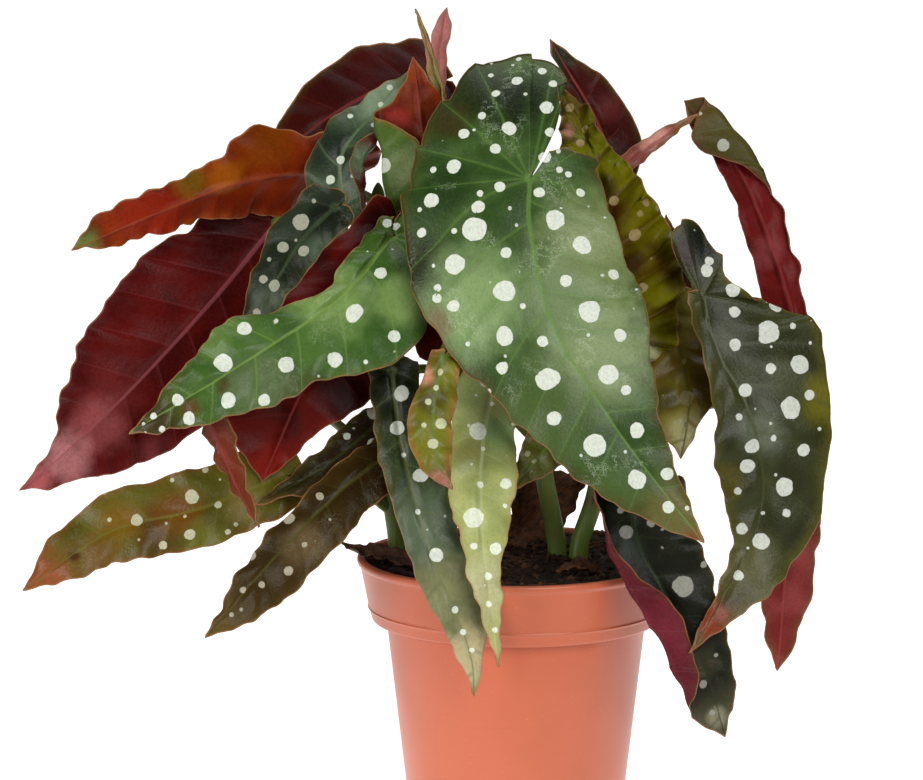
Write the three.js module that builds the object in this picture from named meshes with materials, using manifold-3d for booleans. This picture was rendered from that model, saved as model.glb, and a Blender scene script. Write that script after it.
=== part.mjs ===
// A polka dot begonia in a 12 cm round nursery pot.
// Millimetres. +X is the viewer's right, +Y points away from the viewer, +Z is up.
// The origin is the centre of the flat pot base.
import * as THREE from "three";
import { mergeVertices } from "three/addons/utils/BufferGeometryUtils.js";
import Module from "manifold-3d";

const wasm = await Module();
wasm.setup();

// Pot sizes
const POT_HEIGHT = 107;
const POT_TOP_DIAMETER = 120;
const POT_WALL = 1.8;
const POT_FLOOR = 2.4;
const BASE_DIAMETER = 79;
const BODY_TOP_DIAMETER = 98;
const BAND_HEIGHT = 24;
const BAND_LOWER_DIAMETER = 109;
const BAND_RIDGE_HEIGHT = 5;
const LIP = 1.2;
const POT_SIDES = 54;

// Soil sizes
const SOIL_BELOW_RIM = 6;
const SOIL_HEAP = 4;
const FIT_GAP = 0.3;
const SOIL_SIDES = 48;
const CRUMB_COUNT = 26;
const CRUMB_SIZE = 2.6;
const CRUMB_SEED = 11;

// Stem sizes
const CANE_RADIUS = 3.6;
const CANE_DEPTH_IN_SOIL = 12;
const CANE_SIDES = 10;
const PETIOLE_RADIUS = 1.9;
const PETIOLE_SIDES = 6;

// Leaf sizes
const BLADE_THICKNESS = 0.8;
const PETIOLE_SEAT = 0.7;
const FOLDED_ROWS = 5;
// How far ahead of its foot on the midrib a side vein meets the margin, as a share of the reach
const VEIN_SLANT = 0.55;

// Lobe behind the petiole, as shares of the lobe length and of the half width at the base. The part
// of the broad lobe that crosses the midrib line, and the notch on the narrow side, stay apart.
const LOBE_CROSSING = 0.8;
const NOTCH_WIDTH = 0.49;
const BROAD_LOBE = [
  [-0.35, -0.2],
  [-0.75, -0.3],
  [-0.97, -0.08],
  [-1, 0.2],
  [-0.86, 0.5],
  [-0.5, 0.8],
  [-0.1, 1],
];
const NARROW_LOBE = [
  [-0.75, 0.22],
  [-1, 0.42],
  [-0.85, 0.65],
  [-0.4, 0.9],
];
// Half widths at even steps to the tip, as shares of one width, for a leaf that gives one number
const TAPER_BROAD = [1, 0.97, 0.88, 0.74, 0.54, 0.28];
const TAPER_NARROW = [1, 0.97, 0.88, 0.72, 0.5, 0.25];

// Leaves. midrib: points from the petiole to the tip. face: direction of the top side, from base to
// tip. broad and narrow: half widths of the two unequal sides. lobe and back: how far each side
// reaches behind the petiole. lobeWidth: half width of a broad lobe that is slimmer than its leaf.
// hand: side of the broad half. fold and curl: degrees of the fold at the midrib and of the bend out
// to the margin. wave: height of the margin waves. narrowCrease, narrowArc and narrowCurl: where a
// narrow side that is folded over starts to bend and over what share of its width, and by how many
// degrees.
const LEAVES = {
  leaf_front_large: {
    midrib: [[4, -52, 255], [4, -60, 238], [12, -72, 205], [33, -80, 171], [54, -83, 143], [66, -84, 128]],
    face: [[0, -1, 0.35], [0, -1, 0.3], [0.1, -1, 0.15]],
    broad: [47, 42, 32, 26, 21, 12],
    narrow: [31, 35, 34, 25, 14, 7],
    lobe: 58,
    back: 14,
    lobeLift: -25,
    fold: 2,
    curl: [-30, -25, -10],
    waves: 4,
    detail: 3,
    colour: "#3f5f42",
  },
  leaf_front_left: {
    midrib: [[-46, -26, 231], [-65, -46, 211], [-101, -60, 188], [-141, -58, 163]],
    face: [[-0.2, -1, 0.45]],
    broad: [28, 33, 23, 21, 15, 9],
    narrow: [9, 6, 10, 17.5, 13, 6.5],
    lobe: 14,
    back: 8,
    hand: -1,
    fold: 5,
    curl: [-25, -15, 0],
    detail: 3,
    colour: "#4d7340",
  },
  leaf_centre_orange: {
    midrib: [[-24, -5, 192], [-29, -3, 226], [-35, 3, 264], [-38.5, 12, 294]],
    face: [[-0.1, 1, 0.2]],
    broad: [12, 13, 13, 12, 10, 8],
    narrow: [16, 16, 22, 33, 31, 9],
    hand: -1,
    fold: 5,
    curl: [20, 10, 0],
    narrowCrease: 0.42,
    narrowArc: 0.2,
    narrowCurl: -165,
    colour: "#7d3320",
  },
  leaf_top_red_left: {
    midrib: [[-28, 36, 284], [-47, 50, 281], [-69, 62, 269], [-96, 66, 249]],
    face: [[0, 1, 0.4]],
    broad: [17, 18.5, 18, 17, 14, 9],
    narrow: 12,
    lobe: 5,
    back: 4,
    hand: -1,
    fold: 5,
    curl: -10,
    colour: "#57181e",
  },
  leaf_top_spike: {
    midrib: [[-25, 12, 271], [-29, 12, 286], [-33, 12, 300], [-38, 10, 312]],
    face: [[-0.8, -1, 0.2]],
    broad: 5,
    narrow: 4,
    fold: 50,
    curl: 0,
    wave: 0.3,
    detail: 1,
    colour: "#6d7f4c",
  },
  leaf_top_pink: {
    midrib: [[-30, 20, 267], [-29.5, 20, 283], [-28.5, 20, 298], [-26, 19, 312]],
    face: [[0.6, 1, 0.2]],
    broad: [3, 3.5, 4, 4.5, 4.5, 4],
    narrow: [2, 3, 3, 3, 3, 3],
    lobe: 2,
    back: 1.5,
    fold: 10,
    curl: 0,
    wave: 0.3,
    detail: 1,
    colour: "#955b57",
  },
  leaf_upper_left_green: {
    midrib: [[-65, 3, 238], [-65, 7, 258], [-52, 17.5, 274], [-40, 26, 288]],
    face: [[-0.3, -1, 0.4]],
    broad: 13.5,
    narrow: [14, 17, 16, 13, 11, 6],
    lobe: 12,
    back: 5,
    hand: -1,
    fold: 5,
    curl: -20,
    narrowCrease: 0.53,
    narrowArc: 0.18,
    narrowCurl: 165,
    colour: "#3c5848",
  },
  leaf_mid_left_dark: {
    midrib: [[-67, -28, 242], [-80, -32, 229], [-93, -36, 206], [-101, -36, 185]],
    face: [[-0.3, -1, 0.3]],
    broad: 13,
    narrow: 9,
    lobe: 6,
    back: 4,
    fold: 5,
    curl: -20,
    colour: "#252f27",
  },
  leaf_left_orange: {
    midrib: [[-73, 24, 251], [-101, 10, 248], [-134, 1, 237], [-166, -2, 223]],
    face: [[0, 1, 0.5]],
    broad: [17, 19, 23, 12, 10, 10, 9, 9, 7],
    narrow: [19, 17, 13, 10, 9, 5.5],
    lobe: 24,
    back: 14,
    hand: -1,
    fold: 5,
    curl: -10,
    colour: "#8a3a22",
  },
  leaf_left_red_large: {
    midrib: [[-91, 28, 230], [-114, 24, 202], [-146, 12, 168], [-171, 2, 145], [-187, -2, 132]],
    face: [[0, 1, 0.3]],
    broad: [20, 28, 31, 30, 24, 13],
    narrow: [24, 31, 31.5, 28, 20, 5.5],
    lobe: 6,
    back: 11,
    fold: 5,
    curl: -10,
    detail: 3,
    colour: "#6a1d2a",
  },
  leaf_mid_red_behind: {
    midrib: [[-45, -11, 234], [-66, -22, 201], [-81, -30, 171], [-94, -34, 141]],
    face: [[0, 1, 0.3]],
    broad: [16, 24, 28, 26, 16, 8],
    narrow: [15, 22, 24, 24, 24, 21],
    lobe: 6,
    back: 6,
    fold: 5,
    curl: -10,
    colour: "#7a201d",
  },
  leaf_lower_left_olive: {
    midrib: [[-86, -30, 143], [-117, -34, 131], [-150, -38, 123], [-182, -42, 102]],
    face: [[0, -1, 0.4]],
    broad: [14, 15, 15, 14, 12, 8],
    narrow: [14, 14, 14, 13, 11, 7],
    lobe: 8,
    back: 6,
    fold: 5,
    curl: -10,
    colour: "#5d4d28",
  },
  leaf_narrow_red: {
    midrib: [[-114, -48, 173], [-108, -51, 157], [-101, -54, 141], [-94, -54, 128]],
    face: [[0.9, 1, 0.2]],
    broad: 8,
    narrow: 7,
    lobe: 4,
    back: 3,
    fold: 10,
    curl: 0,
    detail: 1,
    colour: "#7a2227",
  },
  leaf_lower_left_dark: {
    midrib: [[-46, -36, 153], [-65, -48, 140], [-88, -58, 118], [-114, -60, 88]],
    face: [[-0.2, -1, 0.4]],
    broad: [12, 13, 14, 14, 13, 8],
    narrow: [9, 9, 8, 8, 7, 4],
    lobe: 5,
    back: 4,
    hand: -1,
    fold: 5,
    curl: -20,
    colour: "#3e3522",
  },
  leaf_lower_left_back: {
    midrib: [[-49, -22, 163], [-72, -34, 146], [-97, -43, 134]],
    face: [[-0.2, -1, 0.5]],
    broad: 9,
    narrow: 8,
    lobe: 5,
    back: 3,
    hand: -1,
    fold: 5,
    curl: -10,
    detail: 1,
    colour: "#2d3b22",
  },
  leaf_centre_dark_hanging: {
    midrib: [[-46, -38, 183], [-42, -50, 155], [-32, -63, 121], [-18, -68, 86], [-16, -67, 68]],
    face: [[0, -1, 0.2]],
    broad: [10, 12, 13, 12, 11, 6],
    narrow: [9, 9, 8, 8, 7, 5],
    lobe: 6,
    back: 4,
    hand: -1,
    fold: 5,
    curl: -15,
    colour: "#333826",
  },
  leaf_centre_curly: {
    midrib: [[-27, -66, 193], [-30.5, -71, 176], [-30, -74, 160], [-24, -77, 146]],
    face: [[0, -1, 0.2]],
    broad: [5, 7, 9, 9, 8, 5],
    narrow: [7, 8, 7, 7, 6, 3],
    lobe: 2,
    back: 2,
    fold: 5,
    curl: -10,
    wave: 2,
    colour: "#6b5a2c",
  },
  leaf_centre_light: {
    midrib: [[-8, -42, 184], [-13, -56, 157], [-13, -72, 127], [-7, -76, 81]],
    face: [[0, -1, 0.2]],
    broad: [10, 12.5, 12.5, 9, 5, 3],
    narrow: [13, 13.5, 11.5, 8, 6, 3.5],
    lobe: 4,
    back: 4,
    hand: -1,
    fold: 5,
    curl: -10,
    colour: "#7e8148",
  },
  leaf_small_green_behind: {
    midrib: [[17, -52, 165], [8, -55, 155], [-2, -56, 142]],
    face: [[0, -1, 0.2]],
    broad: 9,
    narrow: 9,
    lobe: 3,
    back: 2,
    hand: -1,
    fold: 5,
    curl: -10,
    wave: 0.4,
    detail: 1,
    colour: "#48653a",
  },
  leaf_right_wavy: {
    midrib: [[35, -24, 194], [35, -20, 229], [27, -13, 262], [15, -5, 285]],
    face: [[0, -1, 0.2]],
    broad: [24, 25, 19, 14, 7, 5.5],
    narrow: [14, 14, 14, 16, 13, 6],
    lobe: 12,
    back: 6,
    fold: 5,
    curl: -5,
    wave: 2.2,
    detail: 3,
    colour: "#767629",
  },
  leaf_right_olive_lower: {
    midrib: [[55, -12, 201], [61, -20, 184], [63, -30, 168], [60, -36, 150]],
    face: [[0, -1, 0.3]],
    broad: [17, 15.5, 14, 12, 6, 3],
    narrow: [14, 17, 18, 17, 13, 8],
    lobe: 9,
    back: 6,
    hand: -1,
    fold: 5,
    curl: -15,
    wave: 0.8,
    colour: "#5d5a28",
  },
  leaf_right_large_dark: {
    midrib: [[67, -40, 211], [72, -45, 192], [85, -50, 167], [89, -51, 137], [79, -57, 111], [62, -72, 85]],
    face: [[0.2, -1, 0.3]],
    broad: [34, 39, 35, 29, 24, 21, 17, 12, 5],
    narrow: [6, 12, 17, 14, 5, 3],
    lobe: 30,
    lobeWidth: 13,
    back: 3,
    hand: -1,
    fold: 5,
    curl: -20,
    detail: 3,
    colour: "#2c3927",
  },
  leaf_right_back_rolled: {
    midrib: [[105, 4, 192], [98, 16, 217], [85, 30, 249], [64, 40, 275]],
    face: [[0, 1, 0.2]],
    broad: [9, 9, 8, 7, 6, 5],
    narrow: [6, 8, 9, 10, 20, 24],
    lobe: 6,
    back: 3,
    fold: 5,
    curl: 0,
    narrowCrease: 0.24,
    narrowArc: 0.22,
    narrowCurl: -165,
    colour: "#5e2327",
  },
  leaf_right_red_tip: {
    midrib: [[105, -10, 168], [103, -4, 136], [102, 4, 101], [100, 10, 60]],
    face: [[0, 1, 0.2]],
    broad: [10, 10, 11, 12, 12, 11, 9, 6],
    narrow: [10, 10, 10, 11, 11, 10, 8, 5],
    lobe: 5,
    back: 3,
    fold: 5,
    curl: 0,
    colour: "#5e1c20",
  },
  leaf_back_top_dark_red: {
    midrib: [[32, 20, 235], [33, 32, 262], [13, 46, 298]],
    face: [[0, 1, 0.2]],
    broad: 11,
    narrow: [10, 13, 13, 12, 9, 5],
    lobe: 5,
    back: 4,
    fold: 5,
    curl: 0,
    colour: "#4b161d",
  },
  leaf_young_pointed: {
    midrib: [[40, 3, 254], [54, 8, 264], [68, 12, 273]],
    face: [[0, 1, 0.5]],
    broad: 4,
    narrow: 4,
    lobe: 2,
    back: 1.5,
    fold: 10,
    curl: 0,
    wave: 0.3,
    detail: 1,
    colour: "#9a4a50",
  },
  leaf_dark_red_mid: {
    midrib: [[60, 6, 199], [60, 8, 217], [56, 10, 235]],
    face: [[0, 1, 0.2]],
    broad: 7,
    narrow: 6,
    lobe: 3,
    back: 2,
    fold: 5,
    curl: 0,
    wave: 0.6,
    detail: 1,
    colour: "#45161c",
  },
  leaf_bottom_right_dark: {
    midrib: [[40, -52, 141], [44, -56, 122], [56, -60, 100], [68, -60, 77], [76, -56, 50]],
    face: [[0, -1, 0.3], [0.1, -1, 0.2], [0.2, -1, 0.1]],
    broad: [21, 20, 18, 14, 11, 7],
    narrow: [15, 19, 25, 24, 21, 12],
    lobe: 4,
    back: 4,
    hand: -1,
    fold: 5,
    curl: -10,
    narrowCrease: 0.38,
    narrowArc: 0.24,
    narrowCurl: 165,
    detail: 3,
    colour: "#26291c",
  },
};

// Dry scraps lying on the soil and the rim, given in the same way as the leaves
const SCRAPS = {
  dry_scrap_left: {
    midrib: [[-36, -12, 104.3], [-48, -8, 106.4], [-58, -5, 108.6], [-66, -3, 113]],
    face: [[0.2, -0.4, 1]],
    broad: [4, 6, 5, 6, 4, 2],
    narrow: [3, 4, 6, 4, 3, 2],
    lobe: 2,
    back: 2,
    fold: 25,
    curl: 30,
    wave: 0.7,
    detail: 1,
    colour: "#5a3520",
  },
  dry_scrap_right: {
    midrib: [[30, -22, 104.9], [22, -24, 107.4], [14, -22, 105.4]],
    face: [[0, -0.5, 1]],
    broad: [3, 4, 4, 3, 2, 1],
    narrow: [3, 3, 4, 3, 2, 1],
    lobe: 2,
    back: 2,
    fold: 20,
    curl: 30,
    wave: 0.5,
    detail: 1,
    colour: "#6d4526",
  },
  dry_scrap_back: {
    midrib: [[0, 22, 109.6], [7, 23, 115.5], [16, 23, 124.5], [27, 22, 132.5]],
    face: [[0, -1, 0.1]],
    broad: [6, 9, 10, 9, 7, 4],
    narrow: [9, 14, 16, 15, 12, 7],
    lobe: 3,
    back: 2,
    fold: 15,
    curl: 20,
    wave: 1.2,
    detail: 1,
    colour: "#6a3a20",
  },
};

// Canes, each a line of points from the soil up, and their petioles by the leaf that each carries.
// A petiole lists its points between the cane and the leaf.
const CANES = {
  cane_left: {
    line: [[-45, 14, 100], [-48, 15, 134], [-50, 16, 180], [-52, 18, 225], [-52, 20, 246]],
    petioles: {
      leaf_upper_left_green: [[-52, 17, 222]],
      leaf_mid_left_dark: [[-51, 17, 204], [-70, 3, 222], [-77, -14, 230]],
      leaf_left_orange: [[-52, 19, 238]],
      leaf_left_red_large: [[-51, 17, 208], [-66, 16, 221], [-80, 18, 229]],
      leaf_lower_left_olive: [[-48, 15, 122], [-66, -6, 138]],
      leaf_narrow_red: [[-48, 15, 138], [-86, -14, 174], [-112, -38, 187]],
      leaf_lower_left_dark: [[-48, 15, 130], [-46, -12, 140]],
      leaf_lower_left_back: [[-48, 15, 145], [-49, -4, 158]],
    },
  },
  cane_centre: {
    line: [[15.5, 8, 100], [11, 6, 134], [2, 2, 180], [-4, 0, 230], [-8, 2, 256]],
    petioles: {
      leaf_front_large: [[-4, 0, 232], [0, -24, 250]],
      leaf_front_left: [[-1, 1, 212], [-20, -12, 230]],
      leaf_mid_red_behind: [[-1, 1, 218], [-22, -10, 237], [-37, -13, 242]],
      leaf_centre_orange: [[2, 2, 182], [-10, -9, 189]],
      leaf_top_spike: [[-7, 2, 252], [-17, 7, 262]],
      leaf_top_pink: [[-6, 1, 246], [-18, 12, 257]],
      leaf_centre_dark_hanging: [[8, 4, 150], [-20, -16, 178]],
      leaf_centre_curly: [[3, 2, 176], [-12, -30, 197], [-23, -48, 198]],
      leaf_centre_light: [[4, 3, 172], [0, -18, 184]],
      leaf_small_green_behind: [[9, 5, 146], [14, -24, 160]],
    },
  },
  cane_right: {
    line: [[24, 6, 100], [31, 8, 134], [34, 10, 180], [34, 12, 215], [34, 12, 230]],
    petioles: {
      leaf_right_wavy: [[34, 10, 172], [35, -6, 188]],
      leaf_right_olive_lower: [[34, 10, 186], [46, 2, 198]],
      leaf_right_large_dark: [[34, 12, 204], [58, -4, 218], [66, -24, 216]],
      leaf_right_back_rolled: [[34, 10, 160], [70, 5, 184]],
      leaf_right_red_tip: [[33, 9, 150], [70, 0, 164]],
      leaf_back_top_dark_red: [[34, 12, 222]],
      leaf_young_pointed: [[34, 12, 226], [41, 9, 242]],
      leaf_dark_red_mid: [[34, 11, 192]],
      leaf_bottom_right_dark: [[30, 8, 126], [36, -18, 140]],
    },
  },
  cane_back: {
    line: [[-10, 30, 100], [-14, 32, 170], [-18, 34, 240]],
    petioles: {
      leaf_top_red_left: [[-18, 34, 236], [-23, 35, 262]],
    },
  },
};

const group = new THREE.Group();
group.name = "potted_polka_dot_begonia";

const add = (name, geometry, colour, roughness) => {
  const material = new THREE.MeshStandardMaterial({ color: colour, roughness, metalness: 0 });
  const mesh = new THREE.Mesh(geometry, material);
  mesh.name = name;
  group.add(mesh);
  return mesh;
};

// Seeded draws between 0 and 1
const draws = (seed) => {
  let state = seed >>> 0;
  return () => {
    state = (state * 1664525 + 1013904223) >>> 0;
    return state / 4294967296;
  };
};

const toManifold = (geometry) => {
  const bare = new THREE.BufferGeometry();
  bare.setAttribute("position", geometry.getAttribute("position").clone());
  if (geometry.index) bare.setIndex(geometry.index.clone());
  const merged = mergeVertices(bare, 1e-4);
  const mesh = new wasm.Mesh({
    numProp: 3,
    vertProperties: new Float32Array(merged.getAttribute("position").array),
    triVerts: new Uint32Array(merged.index.array),
  });
  mesh.merge();
  return new wasm.Manifold(mesh);
};

const fromManifold = (solid) => {
  const mesh = solid.getMesh();
  const geometry = new THREE.BufferGeometry();
  geometry.setAttribute("position", new THREE.BufferAttribute(new Float32Array(mesh.vertProperties), 3));
  geometry.setIndex(new THREE.BufferAttribute(new Uint32Array(mesh.triVerts), 1));
  return geometry;
};

// Smooth line through points of any dimension, read at t from 0 to the last index
const spline = (points, t) => {
  const last = points.length - 1;
  const i = Math.min(Math.max(Math.floor(t), 0), last - 1);
  const f = Math.min(Math.max(t - i, 0), 1);
  const p1 = points[i];
  const p2 = points[i + 1];
  const p0 = i > 0 ? points[i - 1] : p1.map((v, k) => 2 * v - p2[k]);
  const p3 = i + 2 <= last ? points[i + 2] : p2.map((v, k) => 2 * v - p1[k]);
  return p1.map((v, k) => 0.5 * (2 * v + (p2[k] - p0[k]) * f
    + (2 * p0[k] - 5 * v + 4 * p2[k] - p3[k]) * f * f
    + (3 * v - p0[k] - 3 * p2[k] + p3[k]) * f * f * f));
};

// A value or a list of values from the leaf base to its tip, read at share s
const along = (values, s) => {
  if (!Array.isArray(values)) return values;
  if (values.length === 1) return values[0];
  const vector = Array.isArray(values[0]);
  const points = vector ? values : values.map((v) => [v]);
  const found = spline(points, Math.min(Math.max(s, 0), 1) * (points.length - 1));
  return vector ? found : found[0];
};

const radians = (degrees) => degrees * Math.PI / 180;

// Half outline of a leaf side from the notch at the petiole to the tip, with its share of arc length
const outline = (leaf, side, length) => {
  const broad = side > 0;
  const given = broad ? leaf.broad : leaf.narrow;
  const taper = broad ? TAPER_BROAD : TAPER_NARROW;
  const widths = Array.isArray(given) ? given : taper.map((k) => k * given);
  const back = broad ? leaf.lobe ?? 0.22 * length : leaf.back ?? 0.1 * length;
  const lobeWidth = broad ? leaf.lobeWidth ?? widths[0] : widths[0];
  const points = (broad ? BROAD_LOBE : NARROW_LOBE).map(([s, t]) => [
    s * back,
    t < 0 ? t * LOBE_CROSSING * back : t * lobeWidth,
  ]);
  if (!broad) points[0][1] = Math.max(points[0][1], NOTCH_WIDTH * back);
  widths.forEach((w, i) => points.push([length * (i + 1) / (widths.length + 1), w]));
  points.push([length, 0]);
  const samples = 240;
  const line = [];
  const share = [0];
  for (let i = 0; i <= samples; i += 1) {
    line.push(spline(points, (i / samples) * (points.length - 1)));
    if (i > 0) share.push(share[i - 1] + Math.hypot(line[i][0] - line[i - 1][0], line[i][1] - line[i - 1][1]));
  }
  const total = share[samples];
  return { line, share: share.map((v) => v / total), width: Math.max(...widths) };
};

// Reads one list at the place where another, rising list has the value x
const read = (x, xs, ys) => {
  let i = 1;
  while (i < xs.length - 1 && xs[i] < x) i += 1;
  const span = xs[i] - xs[i - 1];
  const f = span > 1e-9 ? Math.min(Math.max((x - xs[i - 1]) / span, 0), 1) : 1;
  return ys[i - 1] + (ys[i] - ys[i - 1]) * f;
};

// Midrib curve with its length and a frame at any share of it
const midribOf = (leaf) => {
  const steps = 200;
  const points = [];
  const arc = [0];
  for (let i = 0; i <= steps; i += 1) {
    points.push(new THREE.Vector3(...spline(leaf.midrib, (i / steps) * (leaf.midrib.length - 1))));
    if (i > 0) arc.push(arc[i - 1] + points[i].distanceTo(points[i - 1]));
  }
  const length = arc[steps];
  const share = arc.map((v) => v / length);
  const at = (s) => new THREE.Vector3(...["x", "y", "z"].map((k) => read(s, share, points.map((p) => p[k]))));
  const frame = (s) => {
    const inside = Math.min(Math.max(s, 0), 1);
    const h = 0.004;
    const t = at(Math.min(inside + h, 1)).sub(at(Math.max(inside - h, 0))).normalize();
    const u = new THREE.Vector3(...along(leaf.face, s));
    u.addScaledVector(t, -u.dot(t)).normalize();
    const c = at(inside);
    if (s < 0) {
      const lift = radians(leaf.lobeLift ?? 0) * (-s / 0.3);
      const half = lift / 2;
      const reach = -s * length * (Math.abs(half) > 1e-6 ? Math.sin(half) / half : 1);
      c.addScaledVector(t, -reach * Math.cos(half)).addScaledVector(u, reach * Math.sin(half));
      const turned = t.clone().multiplyScalar(Math.cos(lift)).addScaledVector(u, -Math.sin(lift));
      u.multiplyScalar(Math.cos(lift)).addScaledVector(t, Math.sin(lift));
      t.copy(turned);
    }
    return { c, t, u, b: new THREE.Vector3().crossVectors(t, u) };
  };
  return { length, frame };
};

// Middle surface point of a leaf, s along the midrib, across from it, share of the way to the margin
const bladePoint = (leaf, rib, rim, side, s, across, a, b) => {
  const broad = side > 0;
  const { c, u, b: sideways } = rib.frame(s);
  const fade = Math.min(Math.max(1 + s / 0.08, 0), 1);
  const fold = radians(along(leaf.fold ?? 12, s)) * fade;
  const curl = radians(along((broad ? null : leaf.narrowCurl) ?? leaf.curl ?? -20, s));
  const start = (broad ? 0 : leaf.narrowCrease ?? 0) * rim.width;
  const reach = start > 0 ? (leaf.narrowArc ?? 1) * rim.width : rim.width;
  const span = Math.min(reach, rim.width - start);
  const bent = start > 0 ? Math.min(Math.max(across - start, 0), span) : across;
  const inner = start > 0 ? Math.min(across, start) : 0;
  const outer = across - inner - bent;
  const k = curl / span;
  const turn = k * bent;
  const flatCurl = Math.abs(k) < 1e-6;
  const x = inner * Math.cos(fold) + outer * Math.cos(fold + turn)
    + (flatCurl ? bent * Math.cos(fold) : (Math.sin(fold + turn) - Math.sin(fold)) / k);
  const y = inner * Math.sin(fold) + outer * Math.sin(fold + turn)
    + (flatCurl ? bent * Math.sin(fold) : (Math.cos(fold) - Math.cos(fold + turn)) / k);
  const hand = (leaf.hand ?? 1) * side;
  const phase = broad ? 0 : 1.3;
  const count = 2 * Math.PI * (leaf.waves ?? 5);
  const wave = (leaf.wave ?? 1.2) * b * b * (Math.sin(count * a + phase)
    + 0.35 * Math.sin(count * 2.3 * a + 2 * phase));
  return c.clone()
    .addScaledVector(sideways, hand * (x - wave * Math.sin(fold + turn)))
    .addScaledVector(u, y + wave * Math.cos(fold + turn));
};

// A leaf blade as a thin closed solid, split into triangles alike on both faces
const bladeSolid = (leaf) => {
  const detail = leaf.detail ?? 2;
  const alongCount = [0, 7, 9, 12][detail];
  const fanCount = [0, 3, 4, 6][detail];
  const rib = midribOf(leaf);
  const points = [];
  const triangles = [];
  const feet = [];
  for (let i = 0; i <= alongCount; i += 1) feet.push(i / alongCount);
  const sides = [1, -1].map((side) => ({ side, rim: outline(leaf, side, rib.length) }));
  feet.forEach((s) => points.push(bladePoint(leaf, rib, sides[0].rim, 1, s, 0, 0, 0)));
  sides.forEach(({ side, rim }) => {
    const rows = side < 0 && leaf.narrowCrease ? FOLDED_ROWS : detail;
    const lineS = rim.line.map((p) => p[0]);
    const lineT = rim.line.map((p) => p[1]);
    const foot = [];
    lineS.forEach((v, i) => {
      const own = Math.min(Math.max((v - VEIN_SLANT * Math.abs(lineT[i])) / rib.length, 0), 1);
      foot.push(Math.max(own, foot[i - 1] ?? 0));
    });
    let fanEnd = 0;
    foot.forEach((v, i) => { if (v <= 1e-9) fanEnd = i; });
    const columns = [];
    for (let i = 0; i <= fanCount; i += 1) {
      columns.push({ a: rim.share[fanEnd] * i / fanCount, foot: 0, start: 0 });
    }
    for (let i = 1; i <= alongCount; i += 1) {
      const a = i === alongCount ? 1 : read(feet[i], foot.slice(fanEnd), rim.share.slice(fanEnd));
      columns.push({ a, foot: feet[i], start: i });
    }
    const index = columns.map((column, j) => {
      const row = [column.start];
      const last = j === columns.length - 1;
      const edgeS = read(column.a, rim.share, lineS);
      const edgeT = read(column.a, rim.share, lineT);
      for (let r = 1; r <= rows; r += 1) {
        if (last) {
          row.push(alongCount);
          continue;
        }
        const b = r / rows;
        const s = (column.foot * rib.length * (1 - b) + edgeS * b) / rib.length;
        row.push(points.length);
        points.push(bladePoint(leaf, rib, rim, side, s, edgeT * b, column.a, b));
      }
      return row;
    });
    const forward = side * (leaf.hand ?? 1) > 0;
    for (let j = 0; j < index.length - 1; j += 1) {
      for (let r = 0; r < rows; r += 1) {
        const quad = [index[j][r], index[j][r + 1], index[j + 1][r + 1], index[j + 1][r]];
        [[quad[0], quad[1], quad[2]], [quad[0], quad[2], quad[3]]].forEach((tri) => {
          if (new Set(tri).size === 3) triangles.push(forward ? tri : [tri[0], tri[2], tri[1]]);
        });
      }
    }
  });
  const normals = points.map(() => new THREE.Vector3());
  triangles.forEach(([i, j, k]) => {
    const e = points[j].clone().sub(points[i]);
    const n = e.cross(points[k].clone().sub(points[i]));
    [i, j, k].forEach((v) => normals[v].add(n));
  });
  const count = points.length;
  const position = new Float32Array(count * 6);
  points.forEach((p, i) => {
    const n = normals[i].normalize().multiplyScalar(BLADE_THICKNESS / 2);
    position.set([p.x + n.x, p.y + n.y, p.z + n.z], i * 3);
    position.set([p.x - n.x, p.y - n.y, p.z - n.z], (count + i) * 3);
  });
  const edges = new Set();
  triangles.forEach(([i, j, k]) => [[i, j], [j, k], [k, i]].forEach((e) => edges.add(e.join())));
  const faces = [];
  triangles.forEach(([i, j, k]) => faces.push(i, j, k, i + count, k + count, j + count));
  edges.forEach((key) => {
    const [i, j] = key.split(",").map(Number);
    if (!edges.has([j, i].join())) faces.push(j, i, i + count, j, i + count, j + count);
  });
  const geometry = new THREE.BufferGeometry();
  geometry.setAttribute("position", new THREE.BufferAttribute(position, 3));
  geometry.setIndex(faces);
  return geometry;
};

// A round stem along points, closed at both ends
const stem = (points, radius, sides, steps) => {
  const shape = new THREE.Shape();
  for (let i = 0; i <= sides; i += 1) {
    const angle = (2 * Math.PI * (i % sides)) / sides;
    const x = radius * Math.cos(angle);
    const y = radius * Math.sin(angle);
    if (i === 0) shape.moveTo(x, y);
    else shape.lineTo(x, y);
  }
  const path = new THREE.CatmullRomCurve3(points.map((p) => new THREE.Vector3(...p)));
  const geometry = new THREE.ExtrudeGeometry(shape, { steps, bevelEnabled: false, extrudePath: path, curveSegments: 1 });
  return geometry;
};

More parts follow.
